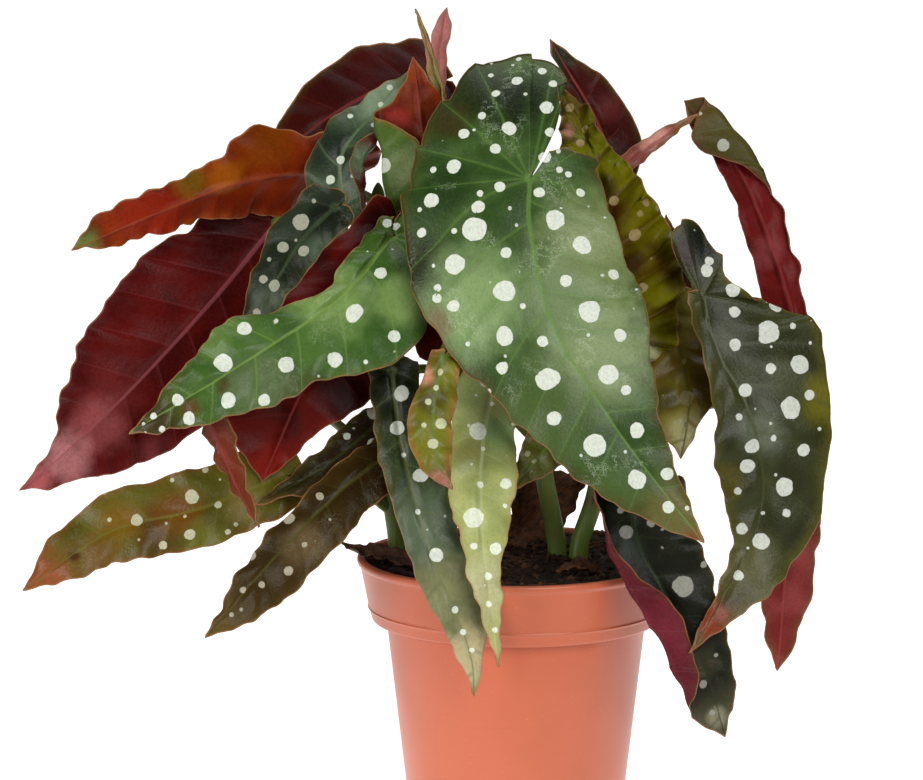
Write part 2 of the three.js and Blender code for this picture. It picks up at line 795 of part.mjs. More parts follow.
// Pot: round, tapered, with a deeper band under the rim and a thin raised line near the band's edge
const bandBottom = POT_HEIGHT - BAND_HEIGHT;
const topRadius = POT_TOP_DIAMETER / 2;
const bandRadius = BAND_LOWER_DIAMETER / 2;
const bodyRadius = BODY_TOP_DIAMETER / 2;
const baseRadius = BASE_DIAMETER / 2;
const ridge = bandBottom + BAND_RIDGE_HEIGHT;
const potProfile = [
  [0, 0],
  [baseRadius - 1.2, 0],
  [baseRadius, 1.2],
  [bodyRadius, bandBottom],
  [bandRadius - 0.6, bandBottom],
  [bandRadius, bandBottom + 0.6],
  [bandRadius + 0.9, ridge - 0.5],
  [bandRadius + 1.7, ridge],
  [bandRadius + 1.3, ridge + 0.6],
  [topRadius - LIP, POT_HEIGHT - 3.2],
  [topRadius, POT_HEIGHT - 2.2],
  [topRadius, POT_HEIGHT - 0.6],
  [topRadius - 0.6, POT_HEIGHT],
  [topRadius - LIP - POT_WALL + 0.5, POT_HEIGHT],
  [topRadius - LIP - POT_WALL, POT_HEIGHT - 0.5],
  [bandRadius - POT_WALL, bandBottom + POT_WALL],
  [bodyRadius - POT_WALL, bandBottom],
  [baseRadius - POT_WALL, POT_FLOOR],
  [0, POT_FLOOR],
];
const lathe = (profile, sides) => new THREE.LatheGeometry(profile.map((p) => new THREE.Vector2(...p)), sides)
  .rotateX(Math.PI / 2);
add("pot", fromManifold(toManifold(lathe(potProfile, POT_SIDES))), "#c8694a", 0.35);

// Soil: fills the pot with a small gap all round, slightly heaped, with fused crumbs and cane holes
const soilEdge = POT_HEIGHT - SOIL_BELOW_RIM;
const innerAt = (z) => {
  const low = bandBottom + POT_WALL;
  const share = (z - low) / (POT_HEIGHT - 0.5 - low);
  return bandRadius - POT_WALL + share * (topRadius - LIP - bandRadius);
};
const soilTop = (r) => soilEdge + SOIL_HEAP * (1 - (r / innerAt(soilEdge)) ** 2);
const soilProfile = [
  [0, POT_FLOOR + FIT_GAP],
  [baseRadius - POT_WALL - FIT_GAP - 0.1, POT_FLOOR + FIT_GAP],
  [bodyRadius - POT_WALL - FIT_GAP - 0.1, bandBottom],
  [bandRadius - POT_WALL - FIT_GAP - 0.4, bandBottom + POT_WALL],
  [innerAt(soilEdge) - FIT_GAP - 0.1, soilEdge],
  [44, soilTop(44)],
  [30, soilTop(30)],
  [14, soilTop(14)],
  [0, soilTop(0)],
];
let soil = toManifold(lathe(soilProfile, SOIL_SIDES));
const draw = draws(CRUMB_SEED);
for (let i = 0; i < CRUMB_COUNT; i += 1) {
  const angle = 2 * Math.PI * draw();
  const r = 8 + 44 * Math.sqrt(draw());
  const size = CRUMB_SIZE * (0.5 + draw());
  const crumb = new THREE.IcosahedronGeometry(size, 0);
  crumb.scale(1, 0.7 + 0.5 * draw(), 0.6);
  crumb.rotateZ(6 * draw());
  const high = Math.min(soilTop(r), POT_HEIGHT - 1);
  const inward = Math.min(r, innerAt(soilEdge) - size - 1);
  crumb.translate(inward * Math.cos(angle), inward * Math.sin(angle), high);
  soil = soil.add(toManifold(crumb));
}
Object.values(CANES).forEach(({ line }) => {
  const base = line[0];
  const hole = [
    [base[0], base[1], soilEdge - CANE_DEPTH_IN_SOIL - FIT_GAP],
    [base[0], base[1], POT_HEIGHT + 6],
  ];
  soil = soil.subtract(toManifold(stem(hole, CANE_RADIUS + FIT_GAP + 0.15, 16, 1)));
});
add("soil", fromManifold(soil), "#2a1d15", 0.95);

// Leaves
Object.entries(LEAVES).forEach(([name, leaf]) => {
  add(name, fromManifold(toManifold(bladeSolid(leaf))), leaf.colour, 0.4);
});

// Dry scraps
Object.entries(SCRAPS).forEach(([name, scrap]) => {
  add(name, fromManifold(toManifold(bladeSolid(scrap))), scrap.colour, 0.8);
});

// Canes with their petioles, one closed piece each. A cane stands upright until it clears the soil.
Object.entries(CANES).forEach(([name, { line, petioles }]) => {
  const [x, y] = line[0];
  const foot = toManifold(stem([[x, y, soilEdge - CANE_DEPTH_IN_SOIL], [x, y, POT_HEIGHT + 4]], CANE_RADIUS, CANE_SIDES, 1));
  const upper = [[x, y, POT_HEIGHT + 2], ...line.slice(1)];
  let cane = foot.add(toManifold(stem(upper, CANE_RADIUS, CANE_SIDES, 14)));
  Object.entries(petioles).forEach(([leafName, points]) => {
    const leaf = LEAVES[leafName];
    const { c, t, u } = midribOf(leaf).frame(0);
    const near = c.clone().addScaledVector(u, -7).addScaledVector(t, -2);
    const end = c.clone().addScaledVector(u, -(BLADE_THICKNESS / 2 + PETIOLE_SEAT));
    const way = [...points, near.toArray(), end.toArray()];
    cane = cane.add(toManifold(stem(way, PETIOLE_RADIUS, PETIOLE_SIDES, 2 * way.length)));
  });
  add(name, fromManifold(cane), "#6d7f3f", 0.5);
});

export default group;
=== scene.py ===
"""A polka dot begonia in a 12 cm round nursery pot, on a pale stage.

Lengths in the tables below are millimetres and angles are degrees. X is the viewer's right, Y points
away from the viewer, Z is up, and the origin is the centre of the flat pot base.
"""
import math

import bpy
import numpy as np
from bpy.props import FloatProperty, FloatVectorProperty, IntProperty, PointerProperty
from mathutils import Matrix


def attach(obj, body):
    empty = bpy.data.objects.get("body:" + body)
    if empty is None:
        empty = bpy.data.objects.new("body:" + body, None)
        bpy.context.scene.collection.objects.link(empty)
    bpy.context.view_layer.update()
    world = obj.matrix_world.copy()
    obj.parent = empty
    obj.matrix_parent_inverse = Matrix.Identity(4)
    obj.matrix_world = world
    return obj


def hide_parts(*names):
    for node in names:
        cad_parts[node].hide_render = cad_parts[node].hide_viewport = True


bl_info = {
    "name": "Potted Polka Dot Begonia",
    "version": (1, 0, 0),
    "blender": (4, 5, 0),
    "location": "View3D > Sidebar > Begonia",
    "description": "Spotted leaves, canes, soil and pot of a polka dot begonia on a pale stage",
    "category": "Add Mesh",
}

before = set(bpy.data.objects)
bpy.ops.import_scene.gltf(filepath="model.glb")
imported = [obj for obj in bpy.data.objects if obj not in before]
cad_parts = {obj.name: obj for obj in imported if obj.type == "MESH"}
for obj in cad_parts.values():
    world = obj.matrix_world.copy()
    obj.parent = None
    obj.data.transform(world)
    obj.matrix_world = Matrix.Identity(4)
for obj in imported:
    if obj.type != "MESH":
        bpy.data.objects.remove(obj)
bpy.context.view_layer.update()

MM = 0.001
TURN = 2 * math.pi

# View of the plant: picture size in pixels, and the camera that sees it
PICTURE = (923, 780)
PIXEL_AT_POT_AXIS = 0.375
CAMERA_DISTANCE = 1600.0
CAMERA_PITCH = 9.0
CAMERA_TARGET = (-20.6, 0.0, 170.0)
SENSOR_WIDTH = 36.0

# Pot sizes
POT_HEIGHT = 107.0
POT_TOP_RADIUS = 60.0
POT_WALL = 1.8
POT_FLOOR = 2.4
BASE_RADIUS = 39.5
BODY_TOP_RADIUS = 49.0
BAND_RADIUS = 54.5
BAND_BOTTOM = 83.0
BAND_RIDGE = 88.0
LIP = 1.2
EDGE_ROUNDING = 0.7
POT_SIDES = 192

# Soil sizes: heights of its edge, heap and bank at the wall, radii of its face, of the heap's foot and
# of the bank's foot, and how far it lies inside the pot's outer face
SOIL_EDGE = 101.0
SOIL_HEAP = 4.0
SOIL_BANK = 4.3
SOIL_RADIUS = 56.0
SOIL_INSET = 2.2
HEAP_RADIUS = 57.0
BANK_FOOT = 38.0
BANK_WIDTH = 17.0
SOIL_ROUGHNESS = 0.45
SOIL_WAVES = 14
SOIL_SIDES, SOIL_RINGS = 180, 62
FIT_GAP = 0.3
SOIL_SEED = 5

# Stem sizes
CANE_RADIUS = 3.6
CANE_SIDES, CANE_STEPS = 24, 150
CANE_DEPTH_IN_SOIL = 12.0
NODE_LENGTH = 2.4
CANE_TAPER = [(0, 1.0), (0.8, 0.92), (0.95, 0.84), (0.975, 0.68), (0.99, 0.44), (1, 0.12)]
PETIOLE_RADIUS = 1.9
PETIOLE_SIDES, PETIOLE_STEPS = 14, 14
PETIOLE_TAPER = [1.25, 1.1, 0.95, 0.9, 0.9, 0.9, 0.95, 1.1]
# How far below the blade, and behind its base, a petiole comes in, and how far below it ends
PETIOLE_DROP, PETIOLE_BEHIND = 7.0, 2.0
BLADE_OFFSET = 0.5

# How far a seen spot may be moved to its place in mm, and how much one mm of depth counts in pixels
# where two points are seen at one place
SPOT_MOVE = 2.0
IN_FRONT = 0.3
# Least distances of other spots to the margin and to the midrib in mm, and how many places are tried
SPOT_TO_MARGIN, SPOT_TO_MIDRIB = 3.0, 3.5
SPOT_TRIES = 260

# Seeds of the random draws: the first leaf's and the first scrap's, with one more for each after it,
# and the range of a phase that is drawn, in radians
LEAF_SEED = 100
SCRAP_SEED = 300
PHASES = 6.28

# Margin teeth for each vein step, how far ahead of its foot on the midrib a side vein meets the
# margin, as a share of the reach, and the least and most side veins of a leaf
TEETH_PER_VEIN = 1.0
VEIN_SLANT = 0.55
FEWEST_VEINS, MOST_VEINS = 4, 10

# Half widths of the midrib and of a side vein, how deep each lies on top, how far each stands out
# below, and height of the fine ripples, in mm
MIDRIB_WIDTH, SIDE_VEIN_WIDTH = 1.3, 0.8
MIDRIB_GROOVE, SIDE_VEIN_GROOVE = 0.25, 0.12
MIDRIB_RIDGE, SIDE_VEIN_RIDGE = 0.9, 0.3
RIPPLE = 0.12

# Columns for each vein step, rows out to the margin and depth of the margin's teeth in mm, for leaves
# longer than so many mm, and for a scrap
FINENESS = [(95, (12, 24, 0.7)), (55, (10, 16, 0.5)), (0, (8, 10, 0.3))]
SCRAP_FINENESS = (8, 8, 0.5)

# Lobe behind the petiole, as shares of the lobe length and of the half width at the base. The part
# of the broad lobe that crosses the midrib line, and the notch on the narrow side, stay apart.
LOBE_CROSSING = 0.8
NOTCH_WIDTH = 0.49
BROAD_LOBE = [(-0.35, -0.2), (-0.75, -0.3), (-0.97, -0.08), (-1, 0.2), (-0.86, 0.5), (-0.5, 0.8), (-0.1, 1)]
NARROW_LOBE = [(-0.75, 0.22), (-1, 0.42), (-0.85, 0.65), (-0.4, 0.9)]
# Keys and lobe points of the broad side, 1, and of the narrow one, -1
HALVES = {1: ("broad", "lobe", BROAD_LOBE), -1: ("narrow", "back", NARROW_LOBE)}
# Lobe lengths of a leaf that gives none, as shares of its length
PLAIN_LOBE = {"lobe": 0.22, "back": 0.1}
# Half widths at even steps to the tip, as shares of one width, for a leaf that gives one number
TAPER = {"broad": [1, 0.97, 0.88, 0.74, 0.54, 0.28], "narrow": [1, 0.97, 0.88, 0.72, 0.5, 0.25]}

# Form of a blade where its own entry gives no other. hand: side of the broad half. fold and curl:
# degrees of the fold at the midrib and of the bend out to the margin. waves and wave: number and
# height of the margin waves. ruffle: height of closer waves. bites: depth of the teeth of the lobe's
# margin. relief: height of the bulges between the veins. lobe_lift: degrees by which the lobe turns
# up for each 0.3 of the length.
PLAIN_FORM = {
    "hand": 1,
    "fold": 5,
    "curl": -10,
    "waves": 5,
    "wave": 1.2,
    "ruffle": 0.0,
    "bites": 0.0,
    "relief": 0.7,
    "lobe_lift": 0,
}

# Leaves. midrib: points from the petiole to the tip. face: direction of the top side, from base to
# tip. broad and narrow: half widths of the two unequal sides. lobe and back: how far each side
# reaches behind the petiole. lobe_width: half width of a broad lobe that is slimmer than its leaf.
# narrow_crease, narrow_arc and narrow_curl: where a narrow side that is folded over starts to bend
# and over what share of its width, and by how many degrees.
LEAVES = {
    "leaf_front_large": {
        "midrib": [[4, -52, 255], [4, -60, 238], [12, -72, 205], [33, -80, 171], [54, -83, 143],
                   [66, -84, 128]], "face": [[0, -1, 0.35], [0, -1, 0.3], [0.1, -1, 0.15]],
        "broad": [47, 42, 32, 26, 21, 12], "narrow": [31, 35, 34, 25, 14, 7], "lobe": 58, "back": 14,
        "lobe_lift": -25, "fold": 2, "curl": [-30, -25, -10], "waves": 4, "relief": 0.4, "bites": 3.2,
    },
    "leaf_front_left": {
        "midrib": [[-46, -26, 231], [-65, -46, 211], [-101, -60, 188], [-141, -58, 163]],
        "face": [[-0.2, -1, 0.45]], "broad": [28, 33, 23, 21, 15, 9], "narrow": [9, 6, 10, 17.5, 13, 6.5],
        "lobe": 14, "back": 8, "hand": -1, "curl": [-25, -15, 0], "relief": 2.0, "ruffle": 0.7,
    },
    "leaf_centre_orange": {
        "midrib": [[-24, -5, 192], [-29, -3, 226], [-35, 3, 264], [-38.5, 12, 294]],
        "face": [[-0.1, 1, 0.2]], "broad": [12, 13, 13, 12, 10, 8], "narrow": [16, 16, 22, 33, 31, 9],
        "hand": -1, "curl": [20, 10, 0], "narrow_crease": 0.42, "narrow_arc": 0.2, "narrow_curl": -165,
    },
    "leaf_top_red_left": {
        "midrib": [[-28, 36, 284], [-47, 50, 281], [-69, 62, 269], [-96, 66, 249]], "face": [[0, 1, 0.4]],
        "broad": [17, 18.5, 18, 17, 14, 9], "narrow": 12, "lobe": 5, "back": 4, "hand": -1, "relief": 0.5,
    },
    "leaf_top_spike": {
        "midrib": [[-25, 12, 271], [-29, 12, 286], [-33, 12, 300], [-38, 10, 312]],
        "face": [[-0.8, -1, 0.2]], "broad": 5, "narrow": 4, "fold": 50, "curl": 0, "wave": 0.3,
    },
    "leaf_top_pink": {
        "midrib": [[-30, 20, 267], [-29.5, 20, 283], [-28.5, 20, 298], [-26, 19, 312]],
        "face": [[0.6, 1, 0.2]], "broad": [3, 3.5, 4, 4.5, 4.5, 4], "narrow": [2, 3, 3, 3, 3, 3], "lobe": 2,
        "back": 1.5, "fold": 10, "curl": 0, "wave": 0.3,
    },
    "leaf_upper_left_green": {
        "midrib": [[-65, 3, 238], [-65, 7, 258], [-52, 17.5, 274], [-40, 26, 288]],
        "face": [[-0.3, -1, 0.4]], "broad": 13.5, "narrow": [14, 17, 16, 13, 11, 6], "lobe": 12, "back": 5,
        "hand": -1, "curl": -20, "narrow_crease": 0.53, "narrow_arc": 0.18, "narrow_curl": 165,
    },
    "leaf_mid_left_dark": {
        "midrib": [[-67, -28, 242], [-80, -32, 229], [-93, -36, 206], [-101, -36, 185]],
        "face": [[-0.3, -1, 0.3]], "broad": 13, "narrow": 9, "lobe": 6, "back": 4, "curl": -20,
    },
    "leaf_left_orange": {
        "midrib": [[-73, 24, 251], [-101, 10, 248], [-134, 1, 237], [-166, -2, 223]], "face": [[0, 1, 0.5]],
        "broad": [17, 19, 23, 12, 10, 10, 9, 9, 7], "narrow": [19, 17, 13, 10, 9, 5.5], "lobe": 24,
        "back": 14, "hand": -1, "relief": 0.6, "ruffle": 0.9,
    },
    "leaf_left_red_large": {
        "midrib": [[-91, 28, 230], [-114, 24, 202], [-146, 12, 168], [-171, 2, 145], [-187, -2, 132]],
        "face": [[0, 1, 0.3]], "broad": [20, 28, 31, 30, 24, 13], "narrow": [24, 31, 31.5, 28, 20, 5.5],
        "lobe": 6, "back": 11, "relief": 0.55, "ruffle": 0.8,
    },
    "leaf_mid_red_behind": {
        "midrib": [[-45, -11, 234], [-66, -22, 201], [-81, -30, 171], [-94, -34, 141]],
        "face": [[0, 1, 0.3]], "broad": [16, 24, 28, 26, 16, 8], "narrow": [15, 22, 24, 24, 24, 21],
        "lobe": 6, "back": 6, "relief": 0.5,
    },
    "leaf_lower_left_olive": {
        "midrib": [[-86, -30, 143], [-117, -34, 131], [-150, -38, 123], [-182, -42, 102]],
        "face": [[0, -1, 0.4]], "broad": [14, 15, 15, 14, 12, 8], "narrow": [14, 14, 14, 13, 11, 7],
        "lobe": 8, "back": 6,
    },
    "leaf_narrow_red": {
        "midrib": [[-114, -48, 173], [-108, -51, 157], [-101, -54, 141], [-94, -54, 128]],
        "face": [[0.9, 1, 0.2]], "broad": 8, "narrow": 7, "lobe": 4, "back": 3, "fold": 10, "curl": 0,
    },
    "leaf_lower_left_dark": {
        "midrib": [[-46, -36, 153], [-65, -48, 140], [-88, -58, 118], [-114, -60, 88]],
        "face": [[-0.2, -1, 0.4]], "broad": [12, 13, 14, 14, 13, 8], "narrow": [9, 9, 8, 8, 7, 4],
        "lobe": 5, "back": 4, "hand": -1, "curl": -20,
    },
    "leaf_lower_left_back": {
        "midrib": [[-49, -22, 163], [-72, -34, 146], [-97, -43, 134]], "face": [[-0.2, -1, 0.5]],
        "broad": 9, "narrow": 8, "lobe": 5, "back": 3, "hand": -1,
    },
    "leaf_centre_dark_hanging": {
        "midrib": [[-46, -38, 183], [-42, -50, 155], [-32, -63, 121], [-18, -68, 86], [-16, -67, 68]],
        "face": [[0, -1, 0.2]], "broad": [10, 12, 13, 12, 11, 6], "narrow": [9, 9, 8, 8, 7, 5], "lobe": 6,
        "back": 4, "hand": -1, "curl": -15,
    },
    "leaf_centre_curly": {
        "midrib": [[-27, -66, 193], [-30.5, -71, 176], [-30, -74, 160], [-24, -77, 146]],
        "face": [[0, -1, 0.2]], "broad": [5, 7, 9, 9, 8, 5], "narrow": [7, 8, 7, 7, 6, 3], "lobe": 2,
        "back": 2, "wave": 2,
    },
    "leaf_centre_light": {
        "midrib": [[-8, -42, 184], [-13, -56, 157], [-13, -72, 127], [-7, -76, 81]], "face": [[0, -1, 0.2]],
        "broad": [10, 12.5, 12.5, 9, 5, 3], "narrow": [13, 13.5, 11.5, 8, 6, 3.5], "lobe": 4, "back": 4,
        "hand": -1,
    },
    "leaf_small_green_behind": {
        "midrib": [[17, -52, 165], [8, -55, 155], [-2, -56, 142]], "face": [[0, -1, 0.2]], "broad": 9,
        "narrow": 9, "lobe": 3, "back": 2, "hand": -1, "wave": 0.4,
    },
    "leaf_right_wavy": {
        "midrib": [[35, -24, 194], [35, -20, 229], [27, -13, 262], [15, -5, 285]], "face": [[0, -1, 0.2]],
        "broad": [24, 25, 19, 14, 7, 5.5], "narrow": [14, 14, 14, 16, 13, 6], "lobe": 12, "back": 6,
        "curl": -5, "wave": 2.2, "relief": 2.6, "ruffle": 4.5,
    },
    "leaf_right_olive_lower": {
        "midrib": [[55, -12, 201], [61, -20, 184], [63, -30, 168], [60, -36, 150]], "face": [[0, -1, 0.3]],
        "broad": [17, 15.5, 14, 12, 6, 3], "narrow": [14, 17, 18, 17, 13, 8], "lobe": 9, "back": 6,
        "hand": -1, "curl": -15, "wave": 0.8, "relief": 1.8,
    },
    "leaf_right_large_dark": {
        "midrib": [[67, -40, 211], [72, -45, 192], [85, -50, 167], [89, -51, 137], [79, -57, 111],
                   [62, -72, 85]], "face": [[0.2, -1, 0.3]], "broad": [34, 39, 35, 29, 24, 21, 17, 12, 5],
        "narrow": [6, 12, 17, 14, 5, 3], "lobe": 30, "lobe_width": 13, "back": 3, "hand": -1, "curl": -20,
        "relief": 0.8, "bites": 1.6,
    },
    "leaf_right_back_rolled": {
        "midrib": [[105, 4, 192], [98, 16, 217], [85, 30, 249], [64, 40, 275]], "face": [[0, 1, 0.2]],
        "broad": [9, 9, 8, 7, 6, 5], "narrow": [6, 8, 9, 10, 20, 24], "lobe": 6, "back": 3, "curl": 0,
        "narrow_crease": 0.24, "narrow_arc": 0.22, "narrow_curl": -165,
    },
    "leaf_right_red_tip": {
        "midrib": [[105, -10, 168], [103, -4, 136], [102, 4, 101], [100, 10, 60]], "face": [[0, 1, 0.2]],
        "broad": [10, 10, 11, 12, 12, 11, 9, 6], "narrow": [10, 10, 10, 11, 11, 10, 8, 5], "lobe": 5,
        "back": 3, "curl": 0,
    },
    "leaf_back_top_dark_red": {
        "midrib": [[32, 20, 235], [33, 32, 262], [13, 46, 298]], "face": [[0, 1, 0.2]], "broad": 11,
        "narrow": [10, 13, 13, 12, 9, 5], "lobe": 5, "back": 4, "curl": 0,
    },
    "leaf_young_pointed": {
        "midrib": [[40, 3, 254], [54, 8, 264], [68, 12, 273]], "face": [[0, 1, 0.5]], "broad": 4,
        "narrow": 4, "lobe": 2, "back": 1.5, "fold": 10, "curl": 0, "wave": 0.3,
    },
    "leaf_dark_red_mid": {
        "midrib": [[60, 6, 199], [60, 8, 217], [56, 10, 235]], "face": [[0, 1, 0.2]], "broad": 7,
        "narrow": 6, "lobe": 3, "back": 2, "curl": 0, "wave": 0.6,
    },
    "leaf_bottom_right_dark": {
        "midrib": [[40, -52, 141], [44, -56, 122], [56, -60, 100], [68, -60, 77], [76, -56, 50]],
        "face": [[0, -1, 0.3], [0.1, -1, 0.2], [0.2, -1, 0.1]], "broad": [21, 20, 18, 14, 11, 7],
        "narrow": [15, 19, 25, 24, 21, 12], "lobe": 4, "back": 4, "hand": -1, "narrow_crease": 0.38,
        "narrow_arc": 0.24, "narrow_curl": 165,
    },
}
# Dry leaf scraps, in the same terms
SCRAPS = {
    "dry_scrap_left": {
        "midrib": [[-36, -12, 104.3], [-48, -8, 106.4], [-58, -5, 108.6], [-66, -3, 113]],
        "face": [[0.2, -0.4, 1]], "broad": [4, 6, 5, 6, 4, 2], "narrow": [3, 4, 6, 4, 3, 2], "lobe": 2,
        "back": 2, "fold": 25, "curl": 30, "wave": 0.7, "relief": 0.5,
    },
    "dry_scrap_right": {
        "midrib": [[30, -22, 104.9], [22, -24, 107.4], [14, -22, 105.4]], "face": [[0, -0.5, 1]],
        "broad": [3, 4, 4, 3, 2, 1], "narrow": [3, 3, 4, 3, 2, 1], "lobe": 2, "back": 2, "fold": 20,
        "curl": 30, "wave": 0.5, "relief": 0.5,
    },
    "dry_scrap_back": {
        "midrib": [[0, 22, 109.6], [7, 23, 115.5], [16, 23, 124.5], [27, 22, 132.5]],
        "face": [[0, -1, 0.1]], "broad": [6, 9, 10, 9, 7, 4], "narrow": [9, 14, 16, 15, 12, 7], "lobe": 3,
        "back": 2, "fold": 15, "curl": 20, "relief": 0.5,
    },
}

# Canes: points up their middle, and for each leaf the way of its petiole from the cane
CANES = {
    "cane_left": {
        "line": [[-45, 14, 100], [-48, 15, 134], [-50, 16, 180], [-52, 18, 225], [-52, 20, 246]],
        "petioles": {
            "leaf_upper_left_green": [[-52, 17, 222]],
            "leaf_mid_left_dark": [[-51, 17, 204], [-70, 3, 222], [-77, -14, 230]],
            "leaf_left_orange": [[-52, 19, 238]],
            "leaf_left_red_large": [[-51, 17, 208], [-66, 16, 221], [-80, 18, 229]],
            "leaf_lower_left_olive": [[-48, 15, 122], [-66, -6, 138]],
            "leaf_narrow_red": [[-48, 15, 138], [-86, -14, 174], [-112, -38, 187]],
            "leaf_lower_left_dark": [[-48, 15, 130], [-46, -12, 140]],
            "leaf_lower_left_back": [[-48, 15, 145], [-49, -4, 158]],
        },
    },
    "cane_centre": {
        "line": [[15.5, 8, 100], [11, 6, 134], [2, 2, 180], [-4, 0, 230], [-8, 2, 256]],
        "petioles": {
            "leaf_front_large": [[-4, 0, 232], [0, -24, 250]],
            "leaf_front_left": [[-1, 1, 212], [-20, -12, 230]],
            "leaf_mid_red_behind": [[-1, 1, 218], [-22, -10, 237], [-37, -13, 242]],
            "leaf_centre_orange": [[2, 2, 182], [-10, -9, 189]],
            "leaf_top_spike": [[-7, 2, 252], [-17, 7, 262]],
            "leaf_top_pink": [[-6, 1, 246], [-18, 12, 257]],
            "leaf_centre_dark_hanging": [[8, 4, 150], [-20, -16, 178]],
            "leaf_centre_curly": [[3, 2, 176], [-12, -30, 197], [-23, -48, 198]],
            "leaf_centre_light": [[4, 3, 172], [0, -18, 184]],
            "leaf_small_green_behind": [[9, 5, 146], [14, -24, 160]],
        },
    },
    "cane_right": {
        "line": [[24, 6, 100], [31, 8, 134], [34, 10, 180], [34, 12, 215], [34, 12, 230]],
        "petioles": {
            "leaf_right_wavy": [[34, 10, 172], [35, -6, 188]],
            "leaf_right_olive_lower": [[34, 10, 186], [46, 2, 198]],
            "leaf_right_large_dark": [[34, 12, 204], [58, -4, 218], [66, -24, 216]],
            "leaf_right_back_rolled": [[34, 10, 160], [70, 5, 184]],
            "leaf_right_red_tip": [[33, 9, 150], [70, 0, 164]],
            "leaf_back_top_dark_red": [[34, 12, 222]],
            "leaf_young_pointed": [[34, 12, 226], [41, 9, 242]],
            "leaf_dark_red_mid": [[34, 11, 192]],
            "leaf_bottom_right_dark": [[30, 8, 126], [36, -18, 140]],
        },
    },
    "cane_back": {
        "line": [[-10, 30, 100], [-14, 32, 170], [-18, 34, 240]],
        "petioles": {
            "leaf_top_red_left": [[-18, 34, 236], [-23, 35, 262]],
        },
    },
}

